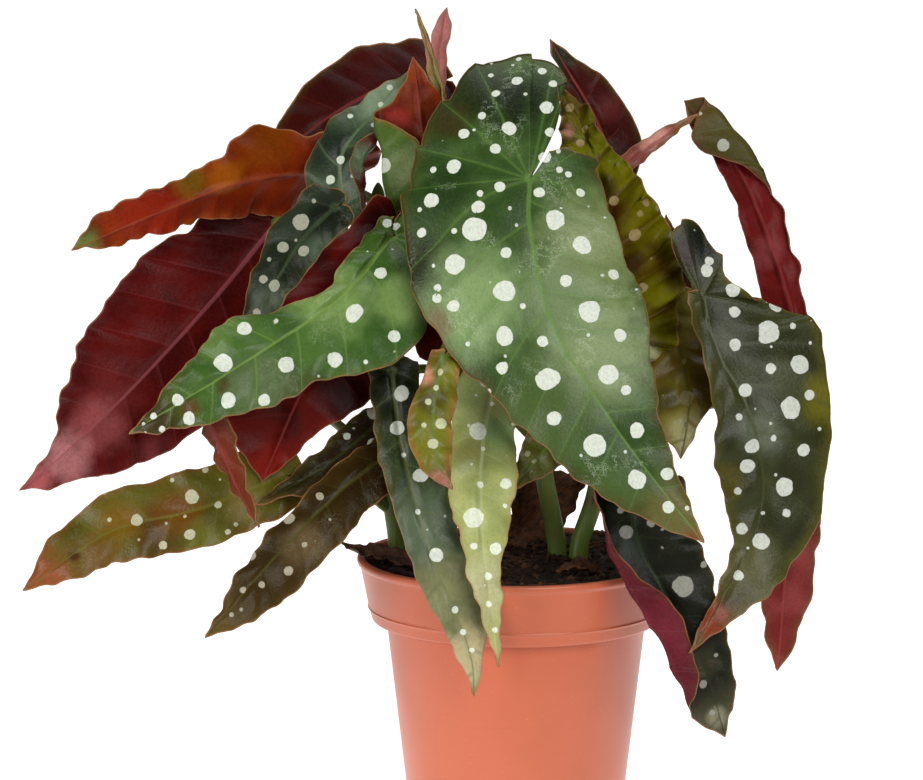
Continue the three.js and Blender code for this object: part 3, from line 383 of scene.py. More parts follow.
# Colours of a leaf: top and under, each with a second tone for broad blotches, rim along the margin, tip,
# veins and spots. rim_width: width of the rim's tone in mm. sheen: strength of the highlights. The band and
# scuff strengths: how strongly the bands beside the side veins and the pale scuffs show; on the ruffled
# leaf_right_wavy the bands are painted shade in the folds.
PLAIN_LOOK = {
    "top": "#3d5a26", "top_patch": "#28401b", "under": "#541110", "under_patch": "#370a09",
    "rim": "#5a5222", "tip": "#6b5526", "vein": "#5d7a38", "under_vein": "#8e3a38", "spot": "#d9e4d0",
    "rim_width": 4.0, "sheen": 0.2, "vein_halo_and_fold_shade": 0.22, "scuffs": 0.15,
}
LOOKS = {
    "leaf_front_large": {
        "top": "#2e481b", "top_patch": "#46612e", "rim": "#4e4018", "tip": "#5c4a1e", "vein": "#668a3e",
        "rim_width": 6.0, "spot": "#e6eee0", "scuffs": 0.7,
    },
    "leaf_front_left": {
        "top": "#385a20", "top_patch": "#4c6e30", "rim": "#566024", "tip": "#5a3c1d", "vein": "#7a9a48",
        "spot": "#e6eee0", "scuffs": 0.3,
    },
    # Bright orange under tones and rim are partly painted glow of light shining through the leaf from behind
    "leaf_centre_orange": {
        "under": "#5e1804", "under_patch": "#8a3408", "top": "#4a6426", "top_patch": "#5c7434",
        "rim": "#a0562a", "tip": "#628238", "rim_width": 2.5, "sheen": 0.1,
    },
    "leaf_top_red_left": {"under": "#43100c", "under_patch": "#380c0a", "sheen": 0.1},
    "leaf_top_spike": {
        "top": "#9a9a54", "top_patch": "#a8705a", "rim": "#8a9050", "rim_width": 1.0, "under": "#9aa05a",
        "under_patch": "#8a5a40",
    },
    "leaf_top_pink": {
        "top": "#d48c86", "top_patch": "#b8706a", "under": "#d48c86", "under_patch": "#b8706a",
        "rim": "#7a3a34", "vein": "#b87a70",
    },
    "leaf_upper_left_green": {
        "top": "#3a4c34", "top_patch": "#4c6045", "vein": "#6a7f58", "rim": "#4e4a28",
    },
    "leaf_mid_left_dark": {
        "top": "#2b3526", "top_patch": "#1c2116", "rim": "#3c3a20", "spot": "#a6a896", "sheen": 0.1,
        "vein": "#3c4c30",
    },
    # Bright orange under tones and rim are partly painted glow of light shining through the leaf from behind
    "leaf_left_orange": {
        "under": "#8a2e06", "under_patch": "#6e1e04", "under_vein": "#98462a", "rim": "#94501e",
        "top": "#5a5a1c", "top_patch": "#6b7430", "tip": "#5a7a30", "sheen": 0.1,
    },
    "leaf_left_red_large": {
        "under": "#4a0a08", "under_patch": "#5e0e0a", "under_vein": "#9c5058", "rim": "#70282a",
        "sheen": 0.1,
    },
    "leaf_mid_red_behind": {"under": "#6e120a", "under_patch": "#420a06", "rim": "#8a3420", "sheen": 0.1},
    "leaf_lower_left_olive": {
        "top": "#4c470f", "top_patch": "#5f5a1a", "rim": "#7f521e", "tip": "#8e4a26", "under": "#8a4420",
        "under_patch": "#6e2c18", "spot": "#c4c4a4", "vein": "#6e6626",
    },
    "leaf_narrow_red": {"under": "#702a14", "under_patch": "#7a3424", "sheen": 0.1},
    "leaf_lower_left_dark": {
        "top": "#3a2a0c", "top_patch": "#32240c", "rim": "#57421c", "sheen": 0.1, "spot": "#b4ac94",
        "vein": "#4c4a1e",
    },
    "leaf_lower_left_back": {"top": "#2b2410", "top_patch": "#2e1e12", "sheen": 0.1, "vein": "#3c4220"},
    "leaf_centre_dark_hanging": {
        "top": "#2a3518", "top_patch": "#3c4c28", "tip": "#868a5e", "rim": "#62622c", "vein": "#6c7648",
        "spot": "#e6eee0",
    },
    "leaf_centre_curly": {"top": "#54500a", "top_patch": "#74761c", "rim": "#a86a38", "spot": "#cfd3a8"},
    # Tones lightened well above the leaf's own to make up for the shadow the large front leaf casts on it:
    # painted light
    "leaf_centre_light": {
        "top": "#b4bc74", "top_patch": "#98a45e", "tip": "#c2b87c", "rim": "#a39a54", "vein": "#b4c088",
        "spot": "#f2fae4",
    },
    "leaf_small_green_behind": {"top": "#5c6024", "top_patch": "#4a4c1a", "spot": "#a8a880"},
    # Yellow tones and the yellowed spot tone are partly painted glow of light shining through the leaf; its
    # strong vein bands are painted shade in the ruffled folds
    "leaf_right_wavy": {
        "top": "#7e7c0a", "top_patch": "#4e2e04", "rim": "#7c7418", "vein": "#74701c", "spot": "#b8a26c",
        "sheen": 0.1, "vein_halo_and_fold_shade": 0.7,
    },
    # Tones lightened well above the leaf's own to make up for the shadow the leaves in front cast on it:
    # painted light
    "leaf_right_olive_lower": {
        "top": "#8f8630", "top_patch": "#6e5a18", "vein": "#56561e", "rim": "#524e14", "spot": "#948c60",
        "vein_halo_and_fold_shade": 0.5,
    },
    "leaf_right_large_dark": {
        "top": "#2a2d12", "top_patch": "#3c4020", "rim": "#5f5c16", "tip": "#75593f", "vein": "#454a26",
        "rim_width": 6.0, "spot": "#dde2d6",
    },
    "leaf_right_back_rolled": {
        "under": "#7a1c1a", "under_patch": "#7a1c1a", "top": "#4a461c", "top_patch": "#565228",
        "rim": "#7c332c", "sheen": 0.1, "spot": "#c8ccbc",
    },
    "leaf_right_red_tip": {"under": "#742622", "under_patch": "#8a3a38", "tip": "#5a2218", "sheen": 0.1},
    "leaf_back_top_dark_red": {"under": "#340a08", "under_patch": "#3e0e0a", "sheen": 0.1},
    "leaf_young_pointed": {"under": "#b05a54", "under_patch": "#98503c", "top": "#b06a58"},
    "leaf_dark_red_mid": {"under": "#1f0706", "under_patch": "#180505", "sheen": 0.1},
    "leaf_bottom_right_dark": {
        "top": "#171810", "top_patch": "#22231a", "rim": "#403a20", "spot": "#9a9a90", "under": "#6e2430",
        "under_patch": "#5c1a24", "under_vein": "#904c58", "tip": "#5e5c40", "sheen": 0.1,
        "vein": "#2c3a20",
    },
}
# Tones that leaves share: the cut margin and the scuffs, and the share of its own tone that a spot's
# darker places have
CUT_EDGE = "#a8744e"
SCUFF = "#c4d2b4"
SPOT_SHADE = 0.88
# Pale and dark tone of each dry scrap
SCRAP_TONES = {
    "dry_scrap_left": ("#5a3520", "#2e1a10"),
    "dry_scrap_right": ("#7a4c28", "#3d2413"),
    "dry_scrap_back": ("#6a3a1c", "#341a0c"),
}

# Soft areas of another tone, partly the leaf's own (brown tips, orange parts) and partly painted light:
# painted sheen and highlights, painted shade where a part turns from the light, and lightened tones against
# cast shadow.
# Column and row in the picture, radius in mm and colour
TONE_AND_LIGHT_PATCHES_SEEN = {
    "leaf_front_large": [
        (478, 95, 19, "#222b0e"), (518, 104, 18, "#151e0a"), (445, 192, 15, "#223a14"),
        (420, 262, 14, "#252c13"), (478, 300, 24, "#8aa66c"), (450, 120, 10, "#3a3416"),
        (555, 90, 10, "#3c5c30"), (600, 245, 27, "#84935f"), (600, 345, 26, "#869966"),
        (558, 300, 18, "#748a5c"), (545, 420, 20, "#4c6030"), (680, 522, 16, "#6b6636"),
        (436, 325, 8, "#776b47"), (694, 540, 5, "#7a4a28"),
    ],
    "leaf_front_left": [
        (365, 240, 11, "#3c5a1c"), (332, 296, 17, "#82a05a"), (400, 300, 13, "#84a25c"),
        (300, 395, 14, "#4a522c"), (255, 380, 15, "#5c6e46"), (158, 426, 11, "#3c3018"),
        (190, 408, 5, "#5c3e1c"), (222, 384, 4, "#4e4a22"), (215, 335, 12, "#648240"),
    ],
    "leaf_centre_orange": [(398, 120, 6, "#963028"), (436, 125, 10, "#541806"), (402, 165, 8, "#6e8046")],
    "leaf_upper_left_green": [
        (333, 150, 13, "#18241a"), (385, 100, 14, "#84997c"), (362, 160, 8, "#50684a"),
    ],
    "leaf_mid_left_dark": [(325, 215, 9, "#151a12"), (268, 305, 9, "#4c5644"), (318, 250, 7, "#4a5a46")],
    "leaf_left_orange": [
        (268, 140, 15, "#8a4004"), (225, 175, 9, "#a05408"), (150, 212, 16, "#8c2008"),
        (85, 238, 7, "#6a7a3a"), (190, 182, 8, "#7a5a10"),
    ],
    "leaf_left_red_large": [
        (110, 400, 15, "#6e2220"), (98, 428, 13, "#9a4a4c"), (64, 460, 12, "#c07c7e"),
        (38, 482, 7, "#b45e60"), (225, 235, 14, "#380806"), (160, 470, 10, "#7a3436"),
    ],
    "leaf_mid_red_behind": [(352, 398, 15, "#260604"), (272, 465, 9, "#8a1c10"), (385, 225, 14, "#2c0a06")],
    "leaf_lower_left_olive": [
        (48, 582, 12, "#94502c"), (95, 562, 13, "#725222"), (152, 530, 12, "#54360a"),
        (245, 505, 9, "#766838"), (75, 556, 3, "#4a2810"), (178, 512, 11, "#6e4208"),
        (120, 520, 11, "#7a5a10"), (205, 540, 10, "#66661a"),
    ],
    "leaf_lower_left_dark": [(302, 545, 10, "#665438"), (370, 480, 14, "#2a1a06")],
    "leaf_centre_dark_hanging": [
        (392, 390, 16, "#161a10"), (424, 530, 20, "#5a6850"), (448, 596, 18, "#84865c"),
        (468, 660, 15, "#c0b488"),
    ],
    "leaf_centre_light": [
        (470, 392, 12, "#a2b470"), (500, 430, 9, "#86a668"), (468, 452, 8, "#8c8c4c"),
        (505, 400, 9, "#9a9c60"), (484, 590, 16, "#bcbc8c"),
    ],
    "leaf_centre_curly": [(409, 372, 5, "#d89878"), (430, 400, 7, "#4a4204"), (440, 480, 5, "#b0705c")],
    "leaf_right_wavy": [
        (646, 352, 8, "#c4c89c"), (642, 225, 9, "#867f0a"), (650, 270, 6, "#86720a"),
        (664, 300, 6, "#94920a"), (625, 190, 6, "#86820a"), (664, 330, 9, "#4c4802"),
        (630, 262, 8, "#3c2404"), (566, 132, 4, "#c08878"), (590, 125, 6, "#6a6410"),
        (612, 150, 8, "#6c6e08"), (600, 190, 8, "#3a2c04"), (656, 290, 8, "#7a7806"),
    ],
    "leaf_right_olive_lower": [
        (690, 432, 10, "#bcb882"), (710, 385, 9, "#4c3e04"), (685, 340, 7, "#a09444"),
        (665, 400, 7, "#4c4410"),
    ],
    "leaf_right_large_dark": [
        (700, 245, 13, "#141810"), (680, 258, 7, "#2a0a06"), (762, 432, 11, "#68705c"),
        (790, 380, 13, "#474b30"), (826, 400, 12, "#6c6818"), (750, 562, 14, "#5c5a36"),
        (728, 480, 8, "#5c541c"), (722, 342, 9, "#4e5240"), (712, 620, 9, "#8c3a20"),
    ],
    "leaf_right_back_rolled": [(768, 250, 8, "#9a4446"), (692, 108, 8, "#4e4a20")],
    "leaf_back_top_dark_red": [(558, 55, 7, "#20301e"), (610, 110, 7, "#5e2422")],
    "leaf_young_pointed": [
        (652, 136, 7, "#f2ae9c"), (690, 122, 7, "#8a7440"), (662, 150, 3, "#7a5c30"),
        (676, 139, 3, "#7a6030"),
    ],
    "leaf_bottom_right_dark": [
        (624, 550, 9, "#3c443c"), (716, 716, 5, "#86836a"), (702, 664, 8, "#423e2c"),
    ],
}

# Spots that show on the top sides: column and row in the picture, and diameter in mm
SPOTS_SEEN = {
    "leaf_front_large": [
        (519, 60, 2.4), (513, 66, 1.6), (491, 76, 2.2), (542, 72, 3.2), (517, 82, 4.2), (553, 84, 3.2),
        (496, 94, 3.2), (547, 108, 5.4), (482, 116, 3.2), (509, 129, 5.6), (550, 132, 3.6), (464, 134, 4.0),
        (474, 130, 1.2), (496, 149, 4.2), (454, 167, 5.4), (434, 170, 2.8), (500, 187, 4.0),
        (480, 194, 2.6), (432, 200, 5.6), (420, 210, 1.8), (478, 207, 5.0), (422, 233, 3.8),
        (475, 230, 8.4), (454, 231, 2.2), (506, 253, 4.0), (455, 264, 7.2), (434, 266, 1.6),
        (438, 288, 3.0), (437, 298, 3.6), (454, 306, 4.4), (504, 291, 8.0), (523, 306, 2.4),
        (555, 220, 7.2), (582, 246, 6.6), (539, 193, 4.2), (580, 193, 3.2), (568, 175, 2.4),
        (559, 170, 2.4), (545, 157, 4.4), (558, 151, 1.8), (566, 281, 4.4), (613, 275, 4.2),
        (589, 312, 8.0), (588, 207, 1.2), (633, 309, 1.2), (504, 337, 7.0), (502, 368, 4.6),
        (542, 342, 4.2), (548, 379, 8.0), (554, 419, 5.4), (595, 446, 8.2), (620, 336, 4.8),
        (608, 374, 7.4), (626, 390, 3.6), (637, 430, 5.4), (637, 479, 6.8), (667, 474, 4.6),
        (668, 507, 4.2), (687, 508, 2.2), (625, 452, 1.8), (468, 344, 1.8),
    ],
    "leaf_front_left": [
        (381, 274, 5.0), (388, 224, 4.2), (396, 227, 3.4), (384, 240, 2.4), (356, 315, 7.4),
        (394, 337, 4.6), (334, 360, 5.8), (366, 362, 2.6), (311, 335, 2.4), (285, 367, 7.2),
        (265, 400, 4.8), (244, 329, 4.8), (224, 364, 7.0), (196, 375, 4.2), (230, 401, 6.0),
        (178, 400, 4.6), (190, 418, 5.0), (162, 429, 2.8), (154, 416, 2.6), (277, 323, 4.6),
        (357, 350, 1.2), (356, 296, 1.2), (144, 424, 1.6), (146, 432, 1.4),
    ],
    "leaf_centre_light": [
        (485, 381, 4.6), (476, 396, 1.6), (492, 404, 1.8), (478, 432, 6.8), (514, 424, 1.6),
        (522, 434, 2.6), (483, 449, 1.6), (471, 465, 2.2), (506, 456, 1.4), (480, 485, 2.6),
        (506, 484, 4.8), (505, 506, 1.8), (473, 518, 7.2), (474, 546, 3.2), (496, 549, 4.2),
        (488, 576, 2.8), (489, 604, 2.4), (495, 630, 2.0),
    ],
    "leaf_centre_dark_hanging": [
        (402, 394, 6.0), (397, 428, 5.2), (421, 476, 5.6), (436, 555, 4.8), (404, 455, 1.8),
        (418, 512, 2.2), (463, 632, 2.2), (455, 610, 2.8), (428, 530, 1.6), (472, 650, 1.8),
    ],
    "leaf_mid_left_dark": [
        (301, 222, 6.0), (283, 247, 4.4), (270, 260, 2.4), (263, 279, 3.2), (304, 251, 4.2),
        (275, 286, 4.6), (314, 201, 1.8), (257, 313, 3.0), (296, 240, 1.2),
    ],
    "leaf_right_large_dark": [
        (709, 261, 3.2), (706, 271, 4.6), (733, 290, 5.2), (734, 312, 4.4), (775, 307, 4.8),
        (792, 326, 2.8), (768, 333, 8.2), (735, 345, 5.0), (770, 369, 4.4), (798, 365, 7.4),
        (809, 395, 4.2), (745, 390, 5.0), (790, 409, 7.8), (739, 417, 2.8), (755, 409, 1.6),
        (780, 413, 1.4), (751, 446, 6.0), (803, 450, 5.0), (818, 429, 2.2), (773, 438, 2.4),
        (748, 466, 5.4), (784, 487, 6.8), (738, 491, 3.8), (804, 470, 1.6), (807, 484, 1.8),
        (786, 513, 4.0), (742, 529, 4.6), (763, 513, 1.8), (761, 542, 6.4), (738, 576, 4.4),
        (771, 347, 1.4), (769, 394, 1.4), (810, 343, 1.4), (748, 548, 1.2), (778, 460, 1.2),
    ],
    "leaf_bottom_right_dark": [
        (651, 523, 3.8), (683, 587, 7.6), (703, 564, 2.6), (705, 626, 4.4), (662, 548, 1.8),
        (626, 532, 4.4), (620, 510, 2.8), (703, 684, 3.4), (716, 655, 1.6), (712, 712, 2.4),
    ],
    "leaf_right_wavy": [
        (570, 108, 3.2), (587, 130, 3.6), (580, 143, 3.2), (593, 174, 2.8), (614, 201, 4.0),
        (640, 213, 3.6), (647, 203, 3.2), (635, 235, 4.4), (651, 239, 2.0), (651, 259, 3.2),
        (644, 289, 4.8), (650, 307, 2.8),
    ],
    "leaf_right_olive_lower": [
        (687, 398, 6.0), (704, 373, 4.0), (710, 347, 2.6), (683, 424, 3.2), (695, 345, 4.4),
        (685, 362, 2.4),
    ],
    "leaf_right_back_rolled": [(723, 145, 5.0), (700, 114, 1.6)],
    "leaf_upper_left_green": [
        (362, 141, 4.0), (341, 160, 3.2), (374, 126, 2.8), (350, 116, 2.4), (331, 180, 3.4),
        (381, 105, 2.2), (390, 88, 2.6), (352, 176, 1.6),
    ],
    "leaf_lower_left_olive": [
        (192, 497, 5.2), (137, 520, 4.4), (190, 535, 4.8), (163, 545, 3.6), (218, 505, 2.8),
        (110, 520, 2.4), (185, 517, 1.6), (228, 532, 2.4), (150, 500, 2.0), (205, 470, 2.6),
        (236, 512, 1.8), (172, 480, 1.8),
    ],
    "leaf_lower_left_dark": [
        (289, 519, 4.6), (272, 520, 2.8), (252, 556, 3.6), (289, 571, 4.0), (262, 585, 2.6),
        (243, 590, 2.4), (305, 545, 2.4), (320, 497, 3.6), (232, 615, 2.0), (330, 520, 1.6),
    ],
    "leaf_centre_curly": [
        (441, 424, 4.0), (433, 444, 4.0), (428, 402, 2.4), (436, 388, 2.0), (440, 372, 2.4),
        (424, 425, 2.0),
    ],
    "leaf_small_green_behind": [(528, 454, 2.4), (534, 461, 1.8)],
}

FORMS = {name: {**PLAIN_FORM, **form} for name, form in {**LEAVES, **SCRAPS}.items()}


def paint(code):
    """Linear red, green, blue and alpha of a colour written as #rrggbb."""
    parts = [int(code[k:k + 2], 16) / 255 for k in (1, 3, 5)]
    return [v / 12.92 if v <= 0.04045 else ((v + 0.055) / 1.055) ** 2.4 for v in parts] + [1.0]


def dimmed(code, share):
    """The colour written as #rrggbb with each of its three numbers at a share of itself."""
    return "#" + "".join(f"{int(share * int(code[k:k + 2], 16)):02x}" for k in (1, 3, 5))


def spline(points, t):
    """Smooth line through points: at each step the cubic that passes its two points with the slopes of
    their neighbours. t runs from 0 to the last index."""
    p = np.asarray(points, float)
    n = len(p) - 1
    ext = np.vstack([2 * p[0] - p[1], p, 2 * p[-1] - p[-2]])
    t = np.clip(np.asarray(t, float), 0, n)
    i = np.minimum(t.astype(int), n - 1)
    f = (t - i)[:, None]
    p0, p1, p2, p3 = ext[i], ext[i + 1], ext[i + 2], ext[i + 3]
    return 0.5 * (2 * p1 + (p2 - p0) * f + (2 * p0 - 5 * p1 + 4 * p2 - p3) * f**2
                  + (3 * p1 - p0 - 3 * p2 + p3) * f**3)


def along(values, s):
    """A value, or a list of values at even steps from the leaf base to its tip, read at shares s."""
    v = np.asarray(values, float)
    if v.ndim == 0:
        return np.full(len(s), float(v))
    if len(v) == 1:
        return np.tile(v[0], (len(s), 1))
    found = spline(v[:, None] if v.ndim == 1 else v, np.clip(s, 0, 1) * (len(v) - 1))
    return found[:, 0] if v.ndim == 1 else found


def unit(v):
    """Rows of v at length 1."""
    return v / np.maximum(np.linalg.norm(v, axis=1), 1e-12)[:, None]


def arc_of(line):
    """Length of a line up to each of its points: the running sum of its steps."""
    return np.r_[0, np.cumsum(np.linalg.norm(np.diff(line, axis=0), axis=1))]


def half_outline(leaf, side, length):
    """One side of a leaf from the notch to the tip as (along, across), its share of arc, its greatest
    width and the length of its margin: a smooth line through the lobe points, the half widths and the
    tip."""
    half, reach, lobe_points = HALVES[side]
    given = leaf[half]
    widths = list(given) if isinstance(given, list) else [given * k for k in TAPER[half]]
    back = leaf.get(reach, PLAIN_LOBE[reach] * length)
    lobe_width = leaf.get("lobe_width", widths[0]) if side > 0 else widths[0]
    lobe = [[s * back, t * LOBE_CROSSING * back if t < 0 else t * lobe_width] for s, t in lobe_points]
    if side < 0:
        lobe[0][1] = max(lobe[0][1], NOTCH_WIDTH * back)
    body = [[length * (i + 1) / (len(widths) + 1), w] for i, w in enumerate(widths)]
    line = spline(lobe + body + [[length, 0]], np.linspace(0, len(lobe) + len(body), 400))
    arc = arc_of(line)
    return line, arc / arc[-1], max(widths), arc[-1]


def midrib_of(leaf):
    """Midrib curve of a leaf: its length, and its points and directions at shares of that length."""
    points = np.asarray(leaf["midrib"], float)
    line = spline(points, np.linspace(0, len(points) - 1, 300))
    arc = arc_of(line)
    return {"length": arc[-1], "share": arc / arc[-1], "line": line,
            "tangent": unit(np.gradient(line, arc, axis=0))}


def rib_frame(leaf, rib, s):
    """Point, forward, up and sideways directions at shares s. Behind the petiole the blade leaves along
    an arc that turns by lobe_lift degrees for each 0.3 of the length."""
    inside = np.clip(s, 0, 1)
    read = lambda table: np.stack([np.interp(inside, rib["share"], table[:, k]) for k in range(3)], 1)
    c, t = read(rib["line"]), unit(read(rib["tangent"]))
    u = along(leaf["face"], s)
    u = unit(u - (u * t).sum(1)[:, None] * t)
    behind = np.maximum(-s, 0)
    lift = np.radians(leaf["lobe_lift"]) * behind / 0.3
    half = np.where(np.abs(lift) < 1e-6, 1e-6, lift) / 2
    reach = (behind * rib["length"] * np.sin(half) / half)[:, None]
    c = c - reach * np.cos(half)[:, None] * t + reach * np.sin(half)[:, None] * u
    cos_lift, sin_lift = np.cos(lift)[:, None], np.sin(lift)[:, None]
    t, u = cos_lift * t - sin_lift * u, cos_lift * u + sin_lift * t
    return c, t, u, np.cross(t, u)


def blade_points(leaf, rib, side, width, s, across, a, b):
    """Middle surface of a blade. Across from the midrib it rises at the fold angle and then bends along
    an arc of the curl angle; a narrow side that is folded over runs straight up to its crease, bends
    there and runs on straight. Margin waves are sums of sines along the margin, which grow with the
    square of the way out, and the ruffle with its cube."""
    c, _, u, sideways = rib_frame(leaf, rib, s)
    fold = np.radians(along(leaf["fold"], s)) * np.clip(1 + s / 0.08, 0, 1)
    folded_over = side < 0 and "narrow_curl" in leaf
    curl = np.radians(along(leaf["narrow_curl"] if folded_over else leaf["curl"], s))
    start = leaf["narrow_crease"] * width if folded_over else 0.0
    span = min(leaf["narrow_arc"] * width, width - start) if folded_over else width
    inner = np.clip(across, 0, start)
    bent = np.clip(across - start, 0, span) if folded_over else across
    outer = across - inner - bent
    k = curl / span
    k = np.where(np.abs(k) < 1e-6, 1e-6, k)
    turn = fold + k * bent
    x = inner * np.cos(fold) + outer * np.cos(turn) + (np.sin(turn) - np.sin(fold)) / k
    y = inner * np.sin(fold) + outer * np.sin(turn) + (np.cos(fold) - np.cos(turn)) / k
    phase = 0.0 if side > 0 else 1.3
    around = TURN * leaf["waves"] * a
    wave = leaf["wave"] * b**2 * (np.sin(around + phase) + 0.35 * np.sin(2.3 * around + 2 * phase))
    wave = wave + leaf["ruffle"] * b**3 * np.sin(3.1 * around + phase + 2 * np.sin(9 * a))
    return (c + (leaf["hand"] * side * (x - wave * np.sin(turn)))[:, None] * sideways
            + (y + wave * np.cos(turn))[:, None] * u)


def toothed(edge, leaf, side, a, q, depth, rng):
    """The margin with small teeth and dents: moved square to itself by two sines and noise of the vein
    count q, and by the saw of the lobe's bites, all faded out at the notch and the tip."""
    outward = unit(np.stack([-np.gradient(edge[:, 1]), np.gradient(edge[:, 0])], 1))
    fade = np.clip(np.minimum(a / 0.06, (1 - a) / 0.08), 0, 1)
    phase = rng.random(6) * PHASES
    rough = np.convolve(rng.normal(0, 1, len(q) + 6), np.hanning(7), "valid")[:len(q)]
    dent = (0.7 * np.sin(1.3 * np.pi * q + phase[0]) + 0.45 * np.sin(3.1 * np.pi * q + phase[1])
            + 0.22 * rough + 0.2 * (rng.random(len(q)) - 0.5))
    saw = (q * TEETH_PER_VEIN) % 1.0
    bite = (saw if side > 0 else 1 - saw) * np.clip(-q, 0, 1)
    return edge + outward * (fade * (depth * dent - leaf["bites"] * bite))[:, None]


def side_grid(leaf, rib, side, veins, fine, rng):
    """Columns of one side of a blade. Each runs from a foot on the midrib out along a vein direction to
    the margin; fan columns all start at the petiole. Gives the number of fan columns, the greatest
    width, and arrays of columns by rows: distances along and across, shares of the margin and of the
    way out, the count of veins, the width of a vein step there and the distance to the margin."""
    per_vein, rows, teeth = fine
    length = rib["length"]
    line, share, width, girth = half_outline(leaf, side, length)
    foot = np.maximum.accumulate(np.clip((line[:, 0] - VEIN_SLANT * np.abs(line[:, 1])) / length, 0, 1))
    last = np.max(np.nonzero(foot <= 1e-9)[0]) if (foot <= 1e-9).any() else 0
    fan_veins = max(1, round(share[last] * girth * veins / (1.25 * length)))
    fan = np.arange(fan_veins * per_vein) / (fan_veins * per_vein)
    feet = np.linspace(0, 1, veins * per_vein + 1)
    a = np.r_[share[last] * fan, np.interp(feet, foot[last:], share[last:])]
    a[len(fan)], a[-1] = share[last], 1.0
    q = np.r_[-fan_veins * (1 - fan), feet * veins]
    edge = np.stack([np.interp(a, share, line[:, k]) for k in (0, 1)], 1)
    edge = toothed(edge, leaf, side, a, q, teeth, rng)
    edge[-1] = (length, 0)
    x = np.arange(rows + 1) / rows
    b = 0.7 * x + 0.3 * (1 - np.cos(np.pi * x)) / 2
    start = np.r_[np.zeros(len(fan)), feet][:, None] * length
    s = start + (edge[:, :1] - start) * b**1.12
    t = edge[:, 1:] * b
    # Distance between neighbouring vein directions, for one vein step
    ds, dt, dq = np.gradient(s, axis=0), np.gradient(t, axis=0), np.gradient(q)[:, None]
    vs, vt = np.gradient(s, axis=1), np.gradient(t, axis=1)
    gap = np.abs(ds * vt - dt * vs) / np.maximum(np.hypot(vs, vt), 1e-9) / dq
    margin = (1 - b) * np.hypot(edge[:, :1] - start, edge[:, 1:])
    flat = 0 * t
    return len(fan), width, [s, t, a[:, None] + flat, b + flat, q[:, None] + flat, gap, margin]


def blade_sheet(leaf, rib, veins, fine, rng):
    """Middle surface of a blade: points, values of each point, triangles and the margin's vertices in
    order. Both sides share the vertices of the midrib."""
    per_vein, rows, _ = fine
    feet = veins * per_vein + 1
    pieces, triangles, tables, count = [], [], [], feet
    for side in (1, -1):
        fan, width, grid = side_grid(leaf, rib, side, veins, fine, rng)
        columns = len(grid[0])
        s, t, a, b, q, gap, margin = (values.ravel() for values in grid)
        points = blade_points(leaf, rib, side, width, s / rib["length"], t, a, b)
        table = np.column_stack([points, s, side * t, q, gap, margin, b]).reshape(columns, rows + 1, -1)
        if side > 0:
            pieces.append(table[fan:, 0])
        pieces.append(table[:-1, 1:].reshape(-1, table.shape[2]))
        index = np.empty((columns, rows + 1), int)
        index[:, 0] = np.r_[np.zeros(fan, int), np.arange(feet)]
        index[:-1, 1:] = count + np.arange((columns - 1) * rows).reshape(columns - 1, rows)
        index[-1] = feet - 1
        count += (columns - 1) * rows
        tables.append(index)
        here, out, out_ahead, ahead = index[:-1, :-1], index[:-1, 1:], index[1:, 1:], index[1:, :-1]
        pair = np.concatenate([np.stack([here, out, out_ahead], -1).reshape(-1, 3),
                               np.stack([here, out_ahead, ahead], -1).reshape(-1, 3)])
        distinct = (pair[:, 0] != pair[:, 1]) & (pair[:, 1] != pair[:, 2]) & (pair[:, 2] != pair[:, 0])
        triangles.append(pair[distinct] if side * leaf["hand"] > 0 else pair[distinct][:, ::-1])
    broad, narrow = tables
    loop = np.concatenate([broad[0], broad[1:, -1], narrow[-2::-1, -1], narrow[0, -2:0:-1]])
    points, values = np.split(np.vstack(pieces), [3], axis=1)
    return points, values, np.vstack(triangles), loop if leaf["hand"] > 0 else loop[::-1]


